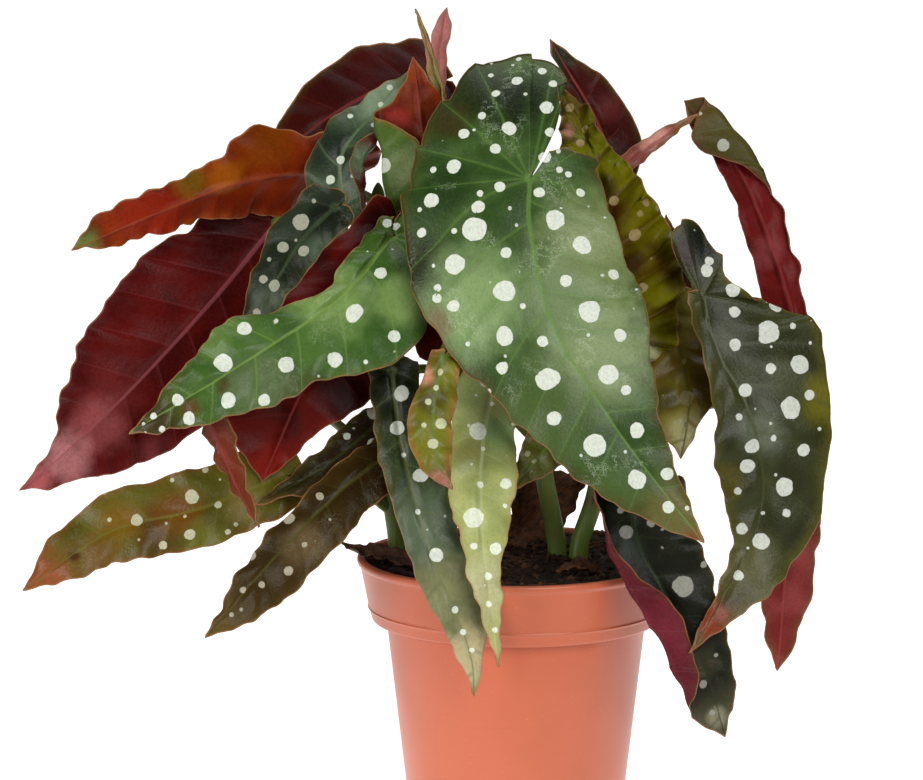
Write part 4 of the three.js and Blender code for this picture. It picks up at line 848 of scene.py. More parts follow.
def blade_mesh(name, fine, settings, seed):
    """Vertices in mm, triangles and vertex values of one closed blade. Both faces follow the middle
    surface, moved along its normals: lifted between the veins by the square of a sine of the vein
    count, thinner to the margin, grooved on top and ribbed below by bells of the distance to the
    midrib and to the side veins."""
    leaf = FORMS[name]
    rng = np.random.default_rng(seed)
    rib = midrib_of(leaf)
    length = rib["length"]
    veins = int(np.clip(round(length / (settings.vein_spacing / MM)), FEWEST_VEINS, MOST_VEINS))
    middle, value, triangles, loop = blade_sheet(leaf, rib, veins, fine, rng)
    s, t, q, gap, margin, b = value.T
    steps = q + 0.5 * (t < 0)
    near = np.abs(steps - np.round(steps)) * gap
    window = np.clip(b / 0.22, 0, 1) * np.clip((1 - b) / 0.3, 0.25, 1) * np.where(q < 0, 0.3, 1)
    relief = min(leaf["relief"] * settings.relief, 0.055 * length)
    relief = relief * np.clip((length - s) / (0.2 * length), 0, 1)
    ripple = sum(np.sin(k[0] * s / 9 + k[1] * t / 9 + k[2]) for k in rng.normal(0, 1.2, (5, 3)))
    lift = relief * np.sin(np.pi * steps)**2 * window * np.clip(gap / 6, 0, 1)
    lift = lift + RIPPLE * ripple * np.clip(b / 0.2, 0, 1)
    normal = vertex_normals(middle, triangles)
    half = settings.thickness / MM / 2 * (1 - 0.4 * b**2)
    slim = np.clip(1 - s / length, 0, 1)
    midrib = np.exp(-(t / MIDRIB_WIDTH)**2) * (0.35 + 0.65 * slim) * np.clip(1 + s / 3, 0, 1)
    side_vein = np.exp(-(near / SIDE_VEIN_WIDTH)**2) * np.clip(margin / 8, 0, 1) * np.clip(b / 0.08, 0, 1)
    groove = MIDRIB_GROOVE * midrib + SIDE_VEIN_GROOVE * side_vein
    ridge = MIDRIB_RIDGE * midrib + SIDE_VEIN_RIDGE * side_vein
    top = middle + normal * (lift + half - groove)[:, None]
    bottom = middle + normal * (lift - half - ridge)[:, None]
    after, n = np.roll(loop, -1), len(middle)
    walls = np.vstack([np.stack([after, loop, loop + n], 1), np.stack([after, loop + n, after + n], 1)])
    faces = np.vstack([triangles, triangles[:, ::-1] + n, walls])
    points = np.vstack([top, bottom])
    place = np.stack([s, t, np.ones(n)], 1)
    vein = np.stack([q, gap, margin], 1)
    spots = spots_of(name, middle, normal, value, near, rng, settings)
    centre, radius = spot_of_face(points, faces, *spots)
    return points, faces, {"blade": np.vstack([place, place * (1, 1, 0)]), "vein": np.vstack([vein, vein]),
                           "spot_centre": centre, "spot_radius": radius}


def vertex_normals(points, triangles):
    """Direction at each vertex: the sum of the area vectors of its triangles, at length 1."""
    first, second, third = (points[triangles[:, k]] for k in range(3))
    area = np.cross(second - first, third - first)
    total = np.zeros_like(points)
    for k in range(3):
        np.add.at(total, triangles[:, k], area)
    return unit(total)


def camera_directions():
    """Directions in which the camera looks ahead and up: level ones turned down by the pitch."""
    pitch = math.radians(CAMERA_PITCH)
    return np.array([0, math.cos(pitch), -math.sin(pitch)]), np.array([0, math.sin(pitch), math.cos(pitch)])


def seen_at(points):
    """Picture column and row of points in mm, as the stage's camera sees them: the distances to the
    right and up, times the focal length in pixels, over the distance ahead."""
    forward, upward = camera_directions()
    focal = CAMERA_DISTANCE / PIXEL_AT_POT_AXIS
    d = points - (np.array(CAMERA_TARGET) - CAMERA_DISTANCE * forward)
    scale = focal / (d @ forward)
    return np.stack([PICTURE[0] / 2 + scale * d[:, 0], PICTURE[1] / 2 - scale * (d @ upward)], 1)


def seen_nearest(points, places):
    """For each picture place, the point that is seen nearest to it; a point in front wins over one that
    lies the blade's fold behind it."""
    away = np.linalg.norm(seen_at(points)[None] - places[:, None], axis=2)
    return (away + IN_FRONT * points[:, 1]).argmin(1)


def spots_of(name, middle, normal, value, near, rng, settings):
    """Centres and radii of a leaf's spots, in mm. Spots that show are put where the picture has them:
    the vertex that is seen nearest is moved within the blade's plane until it is seen at the place
    itself. Others grow between the veins."""
    if name in SPOTS_SEEN:
        listed = np.array(SPOTS_SEEN[name], float)
        first = seen_nearest(middle, listed[:, :2])
        rest = (listed[:, :2] - seen_at(middle[first])) * PIXEL_AT_POT_AXIS
        across, upward = (np.tile(way, (len(first), 1)) for way in ((1.0, 0.0, 0.0), camera_directions()[1]))
        frames = np.stack([across, upward, normal[first]], 1)
        facing = np.abs(np.linalg.det(frames)) > 0.25
        wanted = np.stack([rest[:, 0], -rest[:, 1], 0 * rest[:, 0]], 1)
        moves = np.zeros((len(first), 3))
        moves[facing] = np.linalg.solve(frames[facing], wanted[facing][..., None])[..., 0]
        return middle[first] + np.clip(moves, -SPOT_MOVE, SPOT_MOVE), listed[:, 2] / 2
    _, t, _, gap, margin, _ = value.T
    clear = (margin > SPOT_TO_MARGIN) & (np.abs(t) > SPOT_TO_MIDRIB) & (near > 0.25 * gap)
    free = np.nonzero(clear)[0]
    rng.shuffle(free)
    chosen = []
    for i in free[:SPOT_TRIES]:
        if all(np.linalg.norm(middle[i] - middle[j]) > settings.spot_gap / MM for j in chosen):
            chosen.append(i)
    if not chosen:
        return np.zeros((1, 3)), np.zeros(1)
    return middle[chosen], settings.spot_size / MM / 2 * (0.3 + 0.9 * rng.random(len(chosen)))


def spot_of_face(points, faces, centres, radii):
    """Centre in metres and radius in mm of the spot whose rim lies nearest to each face's middle."""
    place = points[faces].mean(1)
    own = (np.linalg.norm(place[None] - centres[:, None], axis=2) - radii[:, None]).argmin(0)
    return centres[own] * MM, radii[own]


def build_mesh(name, points, triangles, values=None, smooth=True):
    """An object from points in mm and triangles, with values for each vertex or each triangle kept as
    attributes."""
    mesh = bpy.data.meshes.new(name)
    mesh.vertices.add(len(points))
    mesh.vertices.foreach_set("co", (np.asarray(points) * MM).astype(np.float32).ravel())
    mesh.loops.add(3 * len(triangles))
    mesh.loops.foreach_set("vertex_index", np.asarray(triangles, np.int32).ravel())
    mesh.polygons.add(len(triangles))
    mesh.polygons.foreach_set("loop_start", np.arange(0, 3 * len(triangles), 3, dtype=np.int32))
    mesh.polygons.foreach_set("use_smooth", np.full(len(triangles), smooth))
    for key, data in (values or {}).items():
        vector = data.ndim == 2
        domain = "POINT" if len(data) == len(points) else "FACE"
        layer = mesh.attributes.new(key, "FLOAT_VECTOR" if vector else "FLOAT", domain)
        layer.data.foreach_set("vector" if vector else "value", data.astype(np.float32).ravel())
    mesh.update(calc_edges=True)
    mesh.validate()
    obj = bpy.data.objects.new(name, mesh)
    bpy.context.scene.collection.objects.link(obj)
    return obj


def closed_skin(rings, ends):
    """Points and triangles of a skin over rings of points, closed by a fan to each of two end points."""
    count, sides = rings.shape[:2]
    n = count * sides
    k = np.arange(sides)
    after = (k + 1) % sides
    low = np.arange(count - 1)[:, None] * sides
    here, beside, above, across = low + k, low + after, low + sides + k, low + sides + after
    faces = np.vstack([np.stack([here, beside, across], -1).reshape(-1, 3),
                       np.stack([here, across, above], -1).reshape(-1, 3),
                       np.stack([np.full(sides, n), after, k], 1),
                       np.stack([np.full(sides, n + 1), n - sides + k, n - sides + after], 1)])
    return np.vstack([rings.reshape(-1, 3), ends]), faces


def tube(points, radii, sides, steps):
    """A round tube along a smooth line, closed at both ends. Its ring at each step is a circle of the
    radius read from radii, square to the line."""
    points = np.asarray(points, float)
    line = spline(points, np.linspace(0, len(points) - 1, steps + 1))
    arc = arc_of(line)
    tangent = unit(np.gradient(line, arc, axis=0))
    spare = np.eye(3)[np.abs(tangent).mean(0).argmin()]
    first = unit(np.cross(tangent, spare))[:, None]
    second = np.cross(tangent, first[:, 0])[:, None]
    r = np.interp(arc / arc[-1], np.linspace(0, 1, len(radii)), radii)[:, None, None]
    angle = (TURN * np.arange(sides) / sides)[None, :, None]
    return closed_skin(line[:, None] + r * (first * np.cos(angle) + second * np.sin(angle)), line[[0, -1]])


def turned(profile, sides):
    """A solid of revolution about Z from a profile of (radius, height) whose ends lie on the axis: each
    point goes round in a circle, and an end is one vertex."""
    profile = np.asarray(profile, float)
    radius, height = profile[1:-1, :1], profile[1:-1, 1:]
    angle = TURN * np.arange(sides) / sides
    rings = np.stack([radius * np.cos(angle), radius * np.sin(angle), height + 0 * angle], -1)
    return closed_skin(rings, [[0, 0, profile[0, 1]], [0, 0, profile[-1, 1]]])


def rounded(profile, radius, steps=4):
    """The profile with each inner corner replaced by a short parabola that starts and ends at most
    radius away from it along its two sides."""
    profile = np.asarray(profile, float)
    out = [profile[0]]
    for before, corner, after in zip(profile[:-2], profile[1:-1], profile[2:]):
        back, ahead = before - corner, after - corner
        a = corner + back * min(radius / np.linalg.norm(back), 0.45)
        b = corner + ahead * min(radius / np.linalg.norm(ahead), 0.45)
        w = np.linspace(0, 1, steps + 1)[:, None]
        out.extend((1 - w)**2 * a + 2 * w * (1 - w) * corner + w**2 * b)
    out.append(profile[-1])
    return np.array(out)


def joined(parts):
    """One list of points and one of triangles from several."""
    offsets = np.cumsum([0] + [len(p) for p, _ in parts])
    return np.vstack([p for p, _ in parts]), np.vstack([f + o for (_, f), o in zip(parts, offsets)])


class Graph:
    """Nodes of one material. Each method adds a node and gives its output; an input may be an output of
    another node or a plain value."""

    def __init__(self, name):
        self.material = bpy.data.materials.new(name)
        self.material.use_nodes = True
        self.tree = self.material.node_tree
        self.shader = self.tree.nodes["Principled BSDF"]

    def put(self, socket, value):
        if isinstance(value, bpy.types.NodeSocket):
            self.tree.links.new(value, socket)
        else:
            socket.default_value = value

    def add(self, kind, inputs, **settings):
        node = self.tree.nodes.new(kind)
        for key, value in settings.items():
            setattr(node, key, value)
        for key, value in inputs.items():
            self.put(node.inputs[key], value)
        return node

    def vector(self, name):
        return self.add("ShaderNodeAttribute", {}, attribute_name=name).outputs["Vector"]

    def value(self, name):
        return self.add("ShaderNodeAttribute", {}, attribute_name=name).outputs["Fac"]

    def place(self):
        return self.add("ShaderNodeTexCoord", {}).outputs["Object"]

    def split(self, vector):
        return self.add("ShaderNodeSeparateXYZ", {0: vector}).outputs

    def join(self, x, y, z):
        return self.add("ShaderNodeCombineXYZ", {0: x, 1: y, 2: z}).outputs[0]

    def stretched(self, vector, scale):
        return self.add("ShaderNodeMapping", {"Vector": vector, "Scale": scale}).outputs[0]

    def distance(self, a, b):
        return self.add("ShaderNodeVectorMath", {0: a, 1: b}, operation="DISTANCE").outputs["Value"]

    def math(self, op, a, b=0.0):
        return self.add("ShaderNodeMath", {0: a, 1: b}, operation=op).outputs[0]

    def plus(self, a, b):
        return self.math("ADD", a, b)

    def less(self, a, b):
        return self.math("SUBTRACT", a, b)

    def times(self, a, b):
        return self.math("MULTIPLY", a, b)

    def over(self, a, b):
        return self.math("DIVIDE", a, b)

    def ramp(self, value, low, high, start=0.0, end=1.0):
        inputs = {"Value": value, "From Min": low, "From Max": high, "To Min": start, "To Max": end}
        return self.add("ShaderNodeMapRange", inputs, interpolation_type="SMOOTHSTEP").outputs[0]

    def fall(self, value, low, high):
        """One below the low value and nothing above the high one."""
        return self.ramp(value, low, high, 1.0, 0.0)

    def mix(self, factor, a, b):
        return self.add("ShaderNodeMix", {0: factor, 6: a, 7: b}, data_type="RGBA").outputs[2]

    def tint(self, colour, mask, share, tone):
        """The colour with a share of the tone mixed in where the mask is one."""
        return self.mix(self.times(mask, share), colour, paint(tone) if isinstance(tone, str) else tone)

    def noise(self, vector, scale, detail=3.0, roughness=0.55):
        inputs = {"Vector": vector, "Scale": scale, "Detail": detail, "Roughness": roughness}
        return self.add("ShaderNodeTexNoise", inputs).outputs[0]

    def wander(self, vector, scale, detail, size):
        """Noise about nought, of the given size."""
        return self.times(self.less(self.noise(vector, scale, detail), 0.5), size)

    def cells(self, vector, scale, feature="F1"):
        return self.add("ShaderNodeTexVoronoi", {"Vector": vector, "Scale": scale}, feature=feature).outputs

    def bump(self, height, strength, distance):
        inputs = {"Height": height, "Strength": strength, "Distance": distance}
        return self.add("ShaderNodeBump", inputs).outputs[0]

    def finish(self, colour, roughness, normal=None, **fixed):
        self.put(self.shader.inputs["Base Color"], colour)
        self.put(self.shader.inputs["Roughness"], roughness)
        if normal is not None:
            self.put(self.shader.inputs["Normal"], normal)
        for key, value in fixed.items():
            self.shader.inputs[key.replace("_", " ")].default_value = value
        return self.material


def tone_and_light_patches_of(name, points):
    """Centre and radius in metres, tone and side (true on top) of each soft patch; some give the leaf's own
    tone, others painted highlights and painted shade. A centre is the point seen nearest to it, and the
    patch is on the side that lies in front there."""
    listed = TONE_AND_LIGHT_PATCHES_SEEN.get(name, [])
    top, bottom = np.split(points, 2)
    nearest = seen_nearest(top, np.array([patch[:2] for patch in listed], float).reshape(-1, 2))
    return [(tuple(top[k] * MM), radius * MM, paint(tone), top[k, 1] < bottom[k, 1])
            for k, (_, _, radius, tone) in zip(nearest, listed)]


def tone_and_light_patch_masks(g, where, tone_and_light_patches):
    """Mask, tone and side of each soft patch, of own tone, painted highlight and painted shade alike: strong
    near its centre and fading past its radius, with an edge that noise moves."""
    drift = g.wander(where, 0.11, 3.0, 0.8)
    tone_and_light_masks = []
    for centre, radius, tone, on_top in tone_and_light_patches:
        reach = g.plus(g.over(g.distance(g.place(), centre), radius), drift)
        tone_and_light_masks.append((g.ramp(reach, 0.3, 1.15, 0.92, 0.0), tone, on_top))
    return tone_and_light_masks


def vein_masks(g, place, vein, length):
    """Masks of the side veins, of the bands beside them, and of the midrib on top and below. The
    distance in mm to the nearest side vein is the vein count, folded to half a step, times the width
    of a step. Side veins slim down to the margin, and the midrib to the tip."""
    s, t, _ = place
    q, gap, margin = vein
    steps = g.plus(q, g.times(g.math("LESS_THAN", t, 0.0), 0.5))
    near = g.times(g.math("PINGPONG", steps, 0.5), gap)
    near = g.over(near, g.ramp(margin, 0.0, 24.0, 0.25, 0.75))
    from_rib = g.over(g.math("ABSOLUTE", t), g.ramp(s, 0.0, length, 1.0, 0.35))
    ahead = g.ramp(s, -1.5, 0.5)
    seat = g.fall(g.math("SQRT", g.plus(g.times(s, s), g.times(t, t))), 1.2, 2.6)
    midrib = g.math("MAXIMUM", g.times(g.fall(from_rib, 0.5, 1.15), ahead), seat)
    under_midrib = g.times(g.fall(from_rib, 0.45, 1.2), ahead)
    return g.fall(near, 0.35, 1.0), g.fall(near, 0.5, 5.0), midrib, under_midrib


def spot_mask(g, where):
    """Mask of the silvery spots. The distance in mm to the rim of the nearest one is moved by a swell,
    in shares of its radius, and by a fine wobble. Small dots lie in a share of the cells between."""
    radius = g.value("spot_radius")
    rim = g.less(g.times(g.distance(g.place(), g.vector("spot_centre")), 1 / MM), radius)
    rim = g.plus(rim, g.times(g.wander(where, 0.16, 1.0, 0.7), radius))
    rim = g.plus(rim, g.wander(where, 0.75, 2.0, 0.6))
    away, cell_tone = g.cells(where, 0.17)[:2]
    dot_size = g.ramp(g.split(cell_tone)[0], 0.55, 1.0, -0.02, 0.13)
    dots = g.fall(g.less(away, dot_size), -0.02, 0.02)
    return g.math("MAXIMUM", g.fall(rim, -0.16, 0.12), g.times(dots, 0.85))


def leaf_material(name, look, length, seed, tone_and_light_patches):
    """Leaf finish. On top, two greens in broad blotches with paler veins and silvery spots; below, two
    reds with raised paler veins. The margin and the tip have tones of their own, and soft areas bring in own
    tones, painted highlights and painted shade."""
    g = Graph(name)
    place, vein = g.split(g.vector("blade")), g.split(g.vector("vein"))
    s, t, upper = place
    margin = vein[2]
    where = g.join(s, t, 17.0 * seed)
    shade = g.noise(where, 0.9, 4.0, 0.6)
    broad = g.ramp(g.noise(where, 0.045, 2.0), 0.4, 0.62)
    dark = g.ramp(shade, 0.35, 0.75)
    rim = g.fall(g.plus(margin, g.times(shade, 2.0)), 0.4, look["rim_width"] + 1.0)
    net = g.fall(g.cells(where, 0.34, "DISTANCE_TO_EDGE")[0], 0.0, 0.09)
    side_vein, vein_halo_and_fold_shade, midrib, under_midrib = vein_masks(g, place, vein, length)
    tone_and_light_masks = tone_and_light_patch_masks(g, where, tone_and_light_patches)
    # Top side
    top = g.mix(broad, paint(look["top"]), paint(look["top_patch"]))
    top = g.tint(top, rim, 0.55, look["rim"])
    top = g.tint(top, g.ramp(s, 0.72 * length, length), 0.75, look["tip"])
    # Soft areas on top: the leaf's own tones, painted highlights and painted shade
    for mask, tone, on_top in tone_and_light_masks:
        top = g.mix(mask, top, tone) if on_top else top
    top = g.tint(top, dark, 0.22, (0.01, 0.015, 0.005, 1))
    # Bands beside the side veins in the second top tone; on leaf_right_wavy they are painted shade in its
    # ruffled folds
    top = g.tint(top, vein_halo_and_fold_shade, look["vein_halo_and_fold_shade"], look["top_patch"])
    scratch = g.math("ABSOLUTE", g.less(g.noise(where, 0.15, 6.0, 0.75), 0.5))
    scuff = g.times(g.fall(scratch, 0.0, 0.013), g.ramp(g.noise(where, 0.05, 1.0), 0.53, 0.66))
    top = g.tint(top, scuff, look["scuffs"], SCUFF)
    for mask, share in ((net, 0.05), (side_vein, 0.3), (midrib, 0.6)):
        top = g.tint(top, mask, share, look["vein"])
    silver = spot_mask(g, where)
    spot = g.mix(g.ramp(shade, 0.3, 0.8), paint(look["spot"]), paint(dimmed(look["spot"], SPOT_SHADE)))
    top = g.tint(top, silver, 0.97, spot)
    # Under side
    under = g.mix(broad, paint(look["under"]), paint(look["under_patch"]))
    under = g.tint(under, rim, 0.35, look["rim"])
    # Soft areas below: own tones, painted sheen and painted shade
    for mask, tone, on_top in tone_and_light_masks:
        under = under if on_top else g.mix(mask, under, tone)
    under = g.tint(under, dark, 0.25, (0.02, 0.003, 0.003, 1))
    for mask, share in ((net, 0.04), (side_vein, 0.12), (under_midrib, 0.6)):
        under = g.tint(under, mask, share, look["under_vein"])
    colour = g.tint(g.mix(upper, under, top), g.fall(margin, 0.15, 0.6), 0.6, CUT_EDGE)
    rough = g.plus(g.ramp(upper, 0.0, 1.0, 0.27, 0.2), g.times(shade, 0.16))
    rough = g.plus(rough, g.times(silver, 0.1))
    normal = g.bump(g.plus(g.times(net, -0.1), shade), 0.35, 0.0004)
    return g.finish(colour, rough, normal, Specular_IOR_Level=look["sheen"])


def dry_material(name, tone, dark):
    """Dry leaf: brown with darker veins and blotches, rough."""
    g = Graph(name)
    s, t, _ = g.split(g.vector("blade"))
    shade = g.noise(g.join(s, t, 3.0), 0.35, 5.0, 0.65)
    streak = g.noise(g.join(g.times(s, 0.2), t, 0.0), 1.6, 3.0)
    colour = g.mix(g.ramp(shade, 0.35, 0.65), paint(tone), paint(dark))
    colour = g.tint(colour, g.ramp(streak, 0.45, 0.7), 0.4, "#8a6238")
    normal = g.bump(g.plus(shade, streak), 0.6, 0.0005)
    return g.finish(colour, g.ramp(shade, 0.0, 1.0, 0.6, 0.85), normal)


def stem_material(name, settings):
    """Cane and petiole finish: green with brown-red flushes, fine pale streaks and dark rings at the
    nodes."""
    g = Graph(name)
    place = g.place()
    shade = g.noise(place, 90.0, 3.0)
    redness = g.ramp(g.value("petiole"), 0.0, 1.0, 0.35, 0.75)
    flush = g.times(g.ramp(g.noise(place, 28.0, 2.0), 0.45, 0.7), redness)
    streak = g.ramp(g.noise(g.stretched(place, (900.0, 900.0, 70.0)), 1.0, 2.0), 0.55, 0.75)
    colour = g.mix(flush, [*settings.green, 1.0], [*settings.flush, 1.0])
    colour = g.tint(colour, g.ramp(shade, 0.35, 0.7), 0.3, "#44541a")
    colour = g.tint(colour, streak, 0.35, "#9aa060")
    colour = g.tint(colour, g.value("node"), 0.6, "#5a4024")
    normal = g.bump(g.plus(streak, shade), 0.3, 0.0004)
    return g.finish(colour, g.ramp(shade, 0.2, 0.8, 0.38, 0.55), normal)


def soil_material(name, settings):
    """Moist peat: near black with brown grains, and paler crumbs and fibres by their own value."""
    g = Graph(name)
    place = g.place()
    grain = g.noise(place, 420.0, 5.0, 0.7)
    lump = g.noise(place, 110.0, 3.0)
    colour = g.mix(g.ramp(grain, 0.35, 0.7), [*settings.dark, 1.0], [*settings.brown, 1.0])
    colour = g.tint(colour, g.ramp(lump, 0.5, 0.75), 0.5, "#0b0704")
    colour = g.mix(g.value("tone"), colour, paint("#6b4a2e"))
    rough = g.ramp(lump, 0.3, 0.7, 0.75, 0.95)
    return g.finish(colour, rough, g.bump(grain, 0.9, 0.001), Specular_IOR_Level=0.3)


def pot_material(name, settings):
    """Satin moulded plastic: one terracotta tone with faint cloudiness, fine scuffs and a slight sheen."""
    g = Graph(name)
    place = g.place()
    cloud = g.noise(place, 18.0, 3.0)
    fine = g.noise(place, 700.0, 2.0)
    rings = g.noise(g.stretched(place, (60.0, 60.0, 900.0)), 1.0, 2.0)
    clouded = [0.9 * v for v in settings.colour] + [1.0]
    colour = g.mix(g.ramp(cloud, 0.35, 0.7), [*settings.colour, 1.0], clouded)
    colour = g.tint(colour, g.fall(g.cells(place, 260.0)[0], 0.0, 0.12), 0.18, "#e8b9a0")
    colour = g.tint(colour, g.ramp(rings, 0.6, 0.8), 0.12, "#a8523a")
    rough = g.ramp(cloud, 0.3, 0.7, settings.roughness - 0.04, settings.roughness + 0.05)
    normal = g.bump(g.plus(g.times(fine, 0.5), g.times(rings, 0.6)), 0.15, 0.0003)
    return g.finish(colour, rough, normal, Coat_Weight=0.15, Coat_Roughness=0.25)


def floor_material(name, settings):
    """Plain pale paper. It glows behind the plant, like a lit backdrop, and is plain in front of it."""
    g = Graph(name)
    place = g.place()
    colour = g.mix(g.noise(place, 3.0, 2.0), paint("#d0d0d0"), paint("#cbcbcb"))
    across, away, _ = g.split(place)
    width = g.plus(0.42, g.times(away, 0.13))
    inside = g.fall(g.less(g.math("ABSOLUTE", across), width), -0.1, 0.15)
    glow = g.times(g.times(inside, g.ramp(away, -0.35, 0.02)), g.fall(away, 6.0, 8.0))
    g.put(g.shader.inputs["Emission Color"], (1.0, 1.0, 1.0, 1.0))
    g.put(g.shader.inputs["Emission Strength"], g.times(glow, settings.floor_glow))
    return g.finish(colour, 0.9, None, Specular_IOR_Level=0.2)


def length_of(name, text, default, low, high):
    """A property for a length in metres."""
    return FloatProperty(name=name, description=text, default=default, min=low, max=high, unit="LENGTH",
                         precision=4)


def factor_of(name, text, default, high=1.0):
    """A property for a share."""
    return FloatProperty(name=name, description=text, default=default, min=0, max=high, subtype="FACTOR")


def number_of(name, text, default, high):
    """A property for a count."""
    return IntProperty(name=name, description=text, default=default, min=0, max=high)


def power_of(name, text, default):
    """A property for a light's power in watts."""
    return FloatProperty(name=name, description=text, default=default, min=0, max=500, unit="POWER")


def colour_of(name, text, code):
    """A property for a colour, whose default is written as #rrggbb."""
    return FloatVectorProperty(name=name, description=text, default=paint(code)[:3], subtype="COLOR", size=3,
                               min=0, max=1)


class LeafSettings(bpy.types.PropertyGroup):
    """Sizes shared by all leaves"""
    thickness: length_of("Thickness", "Thickness of a blade at its midrib", 0.0007, 0.0003, 0.002)
    vein_spacing: length_of("Vein spacing", "Distance of side veins along the midrib", 0.017, 0.008, 0.03)
    relief: factor_of("Relief", "How far blades bulge between veins, as a factor", 1.0, 2.0)
    spot_size: length_of("Spot size", "Diameter of a usual spot", 0.0048, 0.001, 0.01)
    spot_gap: length_of("Spot gap", "Least distance between spots", 0.0105, 0.004, 0.03)


class StemSettings(bpy.types.PropertyGroup):
    """Canes and petioles"""
    swelling: factor_of("Node swelling", "How much a cane widens at a petiole", 0.28)
    green: colour_of("Green", "Main tone of canes and petioles", "#667f2e")
    flush: colour_of("Flush", "Red-brown tone that clouds them", "#70462a")


class SoilSettings(bpy.types.PropertyGroup):
    """Soil in the pot"""
    crumbs: number_of("Crumbs", "Number of loose crumbs on the soil", 620, 2000)
    fibres: number_of("Fibres", "Number of short plant fibres on the soil", 70, 300)
    dark: colour_of("Dark", "Tone of the moist peat", "#1a110b")
    brown: colour_of("Brown", "Tone of its drier grains", "#3c2718")


class PotSettings(bpy.types.PropertyGroup):
    """Nursery pot"""
    colour: colour_of("Colour", "Terracotta tone of the plastic", "#cb6745")
    roughness: factor_of("Roughness", "Roughness of the plastic", 0.4)


class StageSettings(bpy.types.PropertyGroup):
    """Camera, floor and light"""
    camera_distance: length_of("Camera distance", "Distance from the camera to the plant", 1.6, 0.5, 5.0)
    floor_size: length_of("Floor size", "Side of the square floor", 40.0, 5.0, 100.0)
    key_power: power_of("Key power", "Power of the large soft light", 22.0)
    fill_power: power_of("Fill power", "Power of the second light", 21.0)
    top_power: power_of("Top power", "Power of the light above", 9.0)
    world: factor_of("Surrounding light", "Strength of the even white light", 0.1, 5.0)
    floor_glow: factor_of("Floor glow", "Light given off by the floor", 1.0, 5.0)


def show(piece, material, node):
    """Gives a piece its finish, puts it on the root body and lets it stand for its CAD node."""
    piece.data.materials.append(material)
    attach(piece, "root")
    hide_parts(node)


class BEGONIA_OT_pot(bpy.types.Operator):
    """Make the round nursery pot with its band, raised line and rolled rim"""
    bl_idname = "begonia.pot"
    bl_label = "Pot"

    def execute(self, context):
        top, band = POT_TOP_RADIUS, BAND_RADIUS
        profile = [
            (0, 0), (BASE_RADIUS - 1.2, 0), (BASE_RADIUS, 1.2), (BODY_TOP_RADIUS - 0.1, BAND_BOTTOM - 1),
            (BODY_TOP_RADIUS, BAND_BOTTOM), (band - 0.6, BAND_BOTTOM), (band, BAND_BOTTOM + 0.6),
            (band + 0.9, BAND_RIDGE - 0.5), (band + 1.7, BAND_RIDGE), (band + 1.3, BAND_RIDGE + 0.6),
            (top - LIP, POT_HEIGHT - 3.2), (top, POT_HEIGHT - 2.2), (top, POT_HEIGHT - 0.6),
            (top - 0.6, POT_HEIGHT), (top - LIP - POT_WALL + 0.5, POT_HEIGHT),
            (top - LIP - POT_WALL, POT_HEIGHT - 0.5),
            (band - POT_WALL, BAND_BOTTOM + POT_WALL), (BODY_TOP_RADIUS - POT_WALL, BAND_BOTTOM),
            (BASE_RADIUS - POT_WALL, POT_FLOOR), (0, POT_FLOOR),
        ]
        pot = build_mesh("nursery_pot", *turned(rounded(profile, EDGE_ROUNDING), POT_SIDES))
        show(pot, pot_material("pot_finish", context.scene.begonia_pot), "pot")
        return {"FINISHED"}


def soil_height(x, y, waves):
    """Height of the soil: a low heap that falls with the square of the radius and banks up smoothly at
    the pot's wall, plus several plane waves, each lower the finer it is. waves has a row of x and y
    frequency and phase for each."""
    r = np.hypot(x, y)
    bank = np.clip((r - BANK_FOOT) / BANK_WIDTH, 0, 1)
    heap = SOIL_EDGE + SOIL_HEAP * (1 - (r / HEAP_RADIUS)**2) + SOIL_BANK * bank**2 * (3 - 2 * bank)
    rough = sum(np.sin(kx * x + ky * y + phase) / (1 + 2 * np.hypot(kx, ky)) for kx, ky, phase in waves)
    return heap + SOIL_ROUGHNESS * rough * np.clip((SOIL_RADIUS + 0.5 - r) / 4, 0.1, 1)


def soil_body(waves):
    """The soil's body: its profile turned about Z, with the face on top at the soil's height."""
    bottom = POT_FLOOR + FIT_GAP
    low = [(0, bottom), (BASE_RADIUS - SOIL_INSET, bottom), (BODY_TOP_RADIUS - SOIL_INSET, BAND_BOTTOM),
           (BAND_RADIUS - SOIL_INSET - 0.4, BAND_BOTTOM + 2)]
    face = [(radius, SOIL_EDGE) for radius in SOIL_RADIUS * np.linspace(1, 0, SOIL_RINGS + 1)[:-1]]
    points, faces = turned(low + face + [(0, SOIL_EDGE + SOIL_HEAP)], SOIL_SIDES)
    top = slice((len(low) - 1) * SOIL_SIDES, (len(low) - 1 + SOIL_RINGS) * SOIL_SIDES)
    points[top, 2] = soil_height(points[top, 0], points[top, 1], waves)
    return points, faces


# A crumb: corners of a block of size one, and its triangles
CRUMB = np.array([[0, 0, 1], [.9, 0, .2], [.28, .85, .2], [-.72, .53, .2], [-.72, -.53, .2],
                  [.28, -.85, .2], [.3, .4, -.8], [-.5, 0, -.8], [.3, -.4, -.8]])
CRUMB_FACES = np.array([[0, 1, 2], [0, 2, 3], [0, 3, 4], [0, 4, 5], [0, 5, 1], [1, 6, 2], [2, 6, 7],
                        [2, 7, 3], [3, 7, 4], [4, 7, 8], [4, 8, 5], [5, 8, 1], [1, 8, 6], [6, 8, 7]])


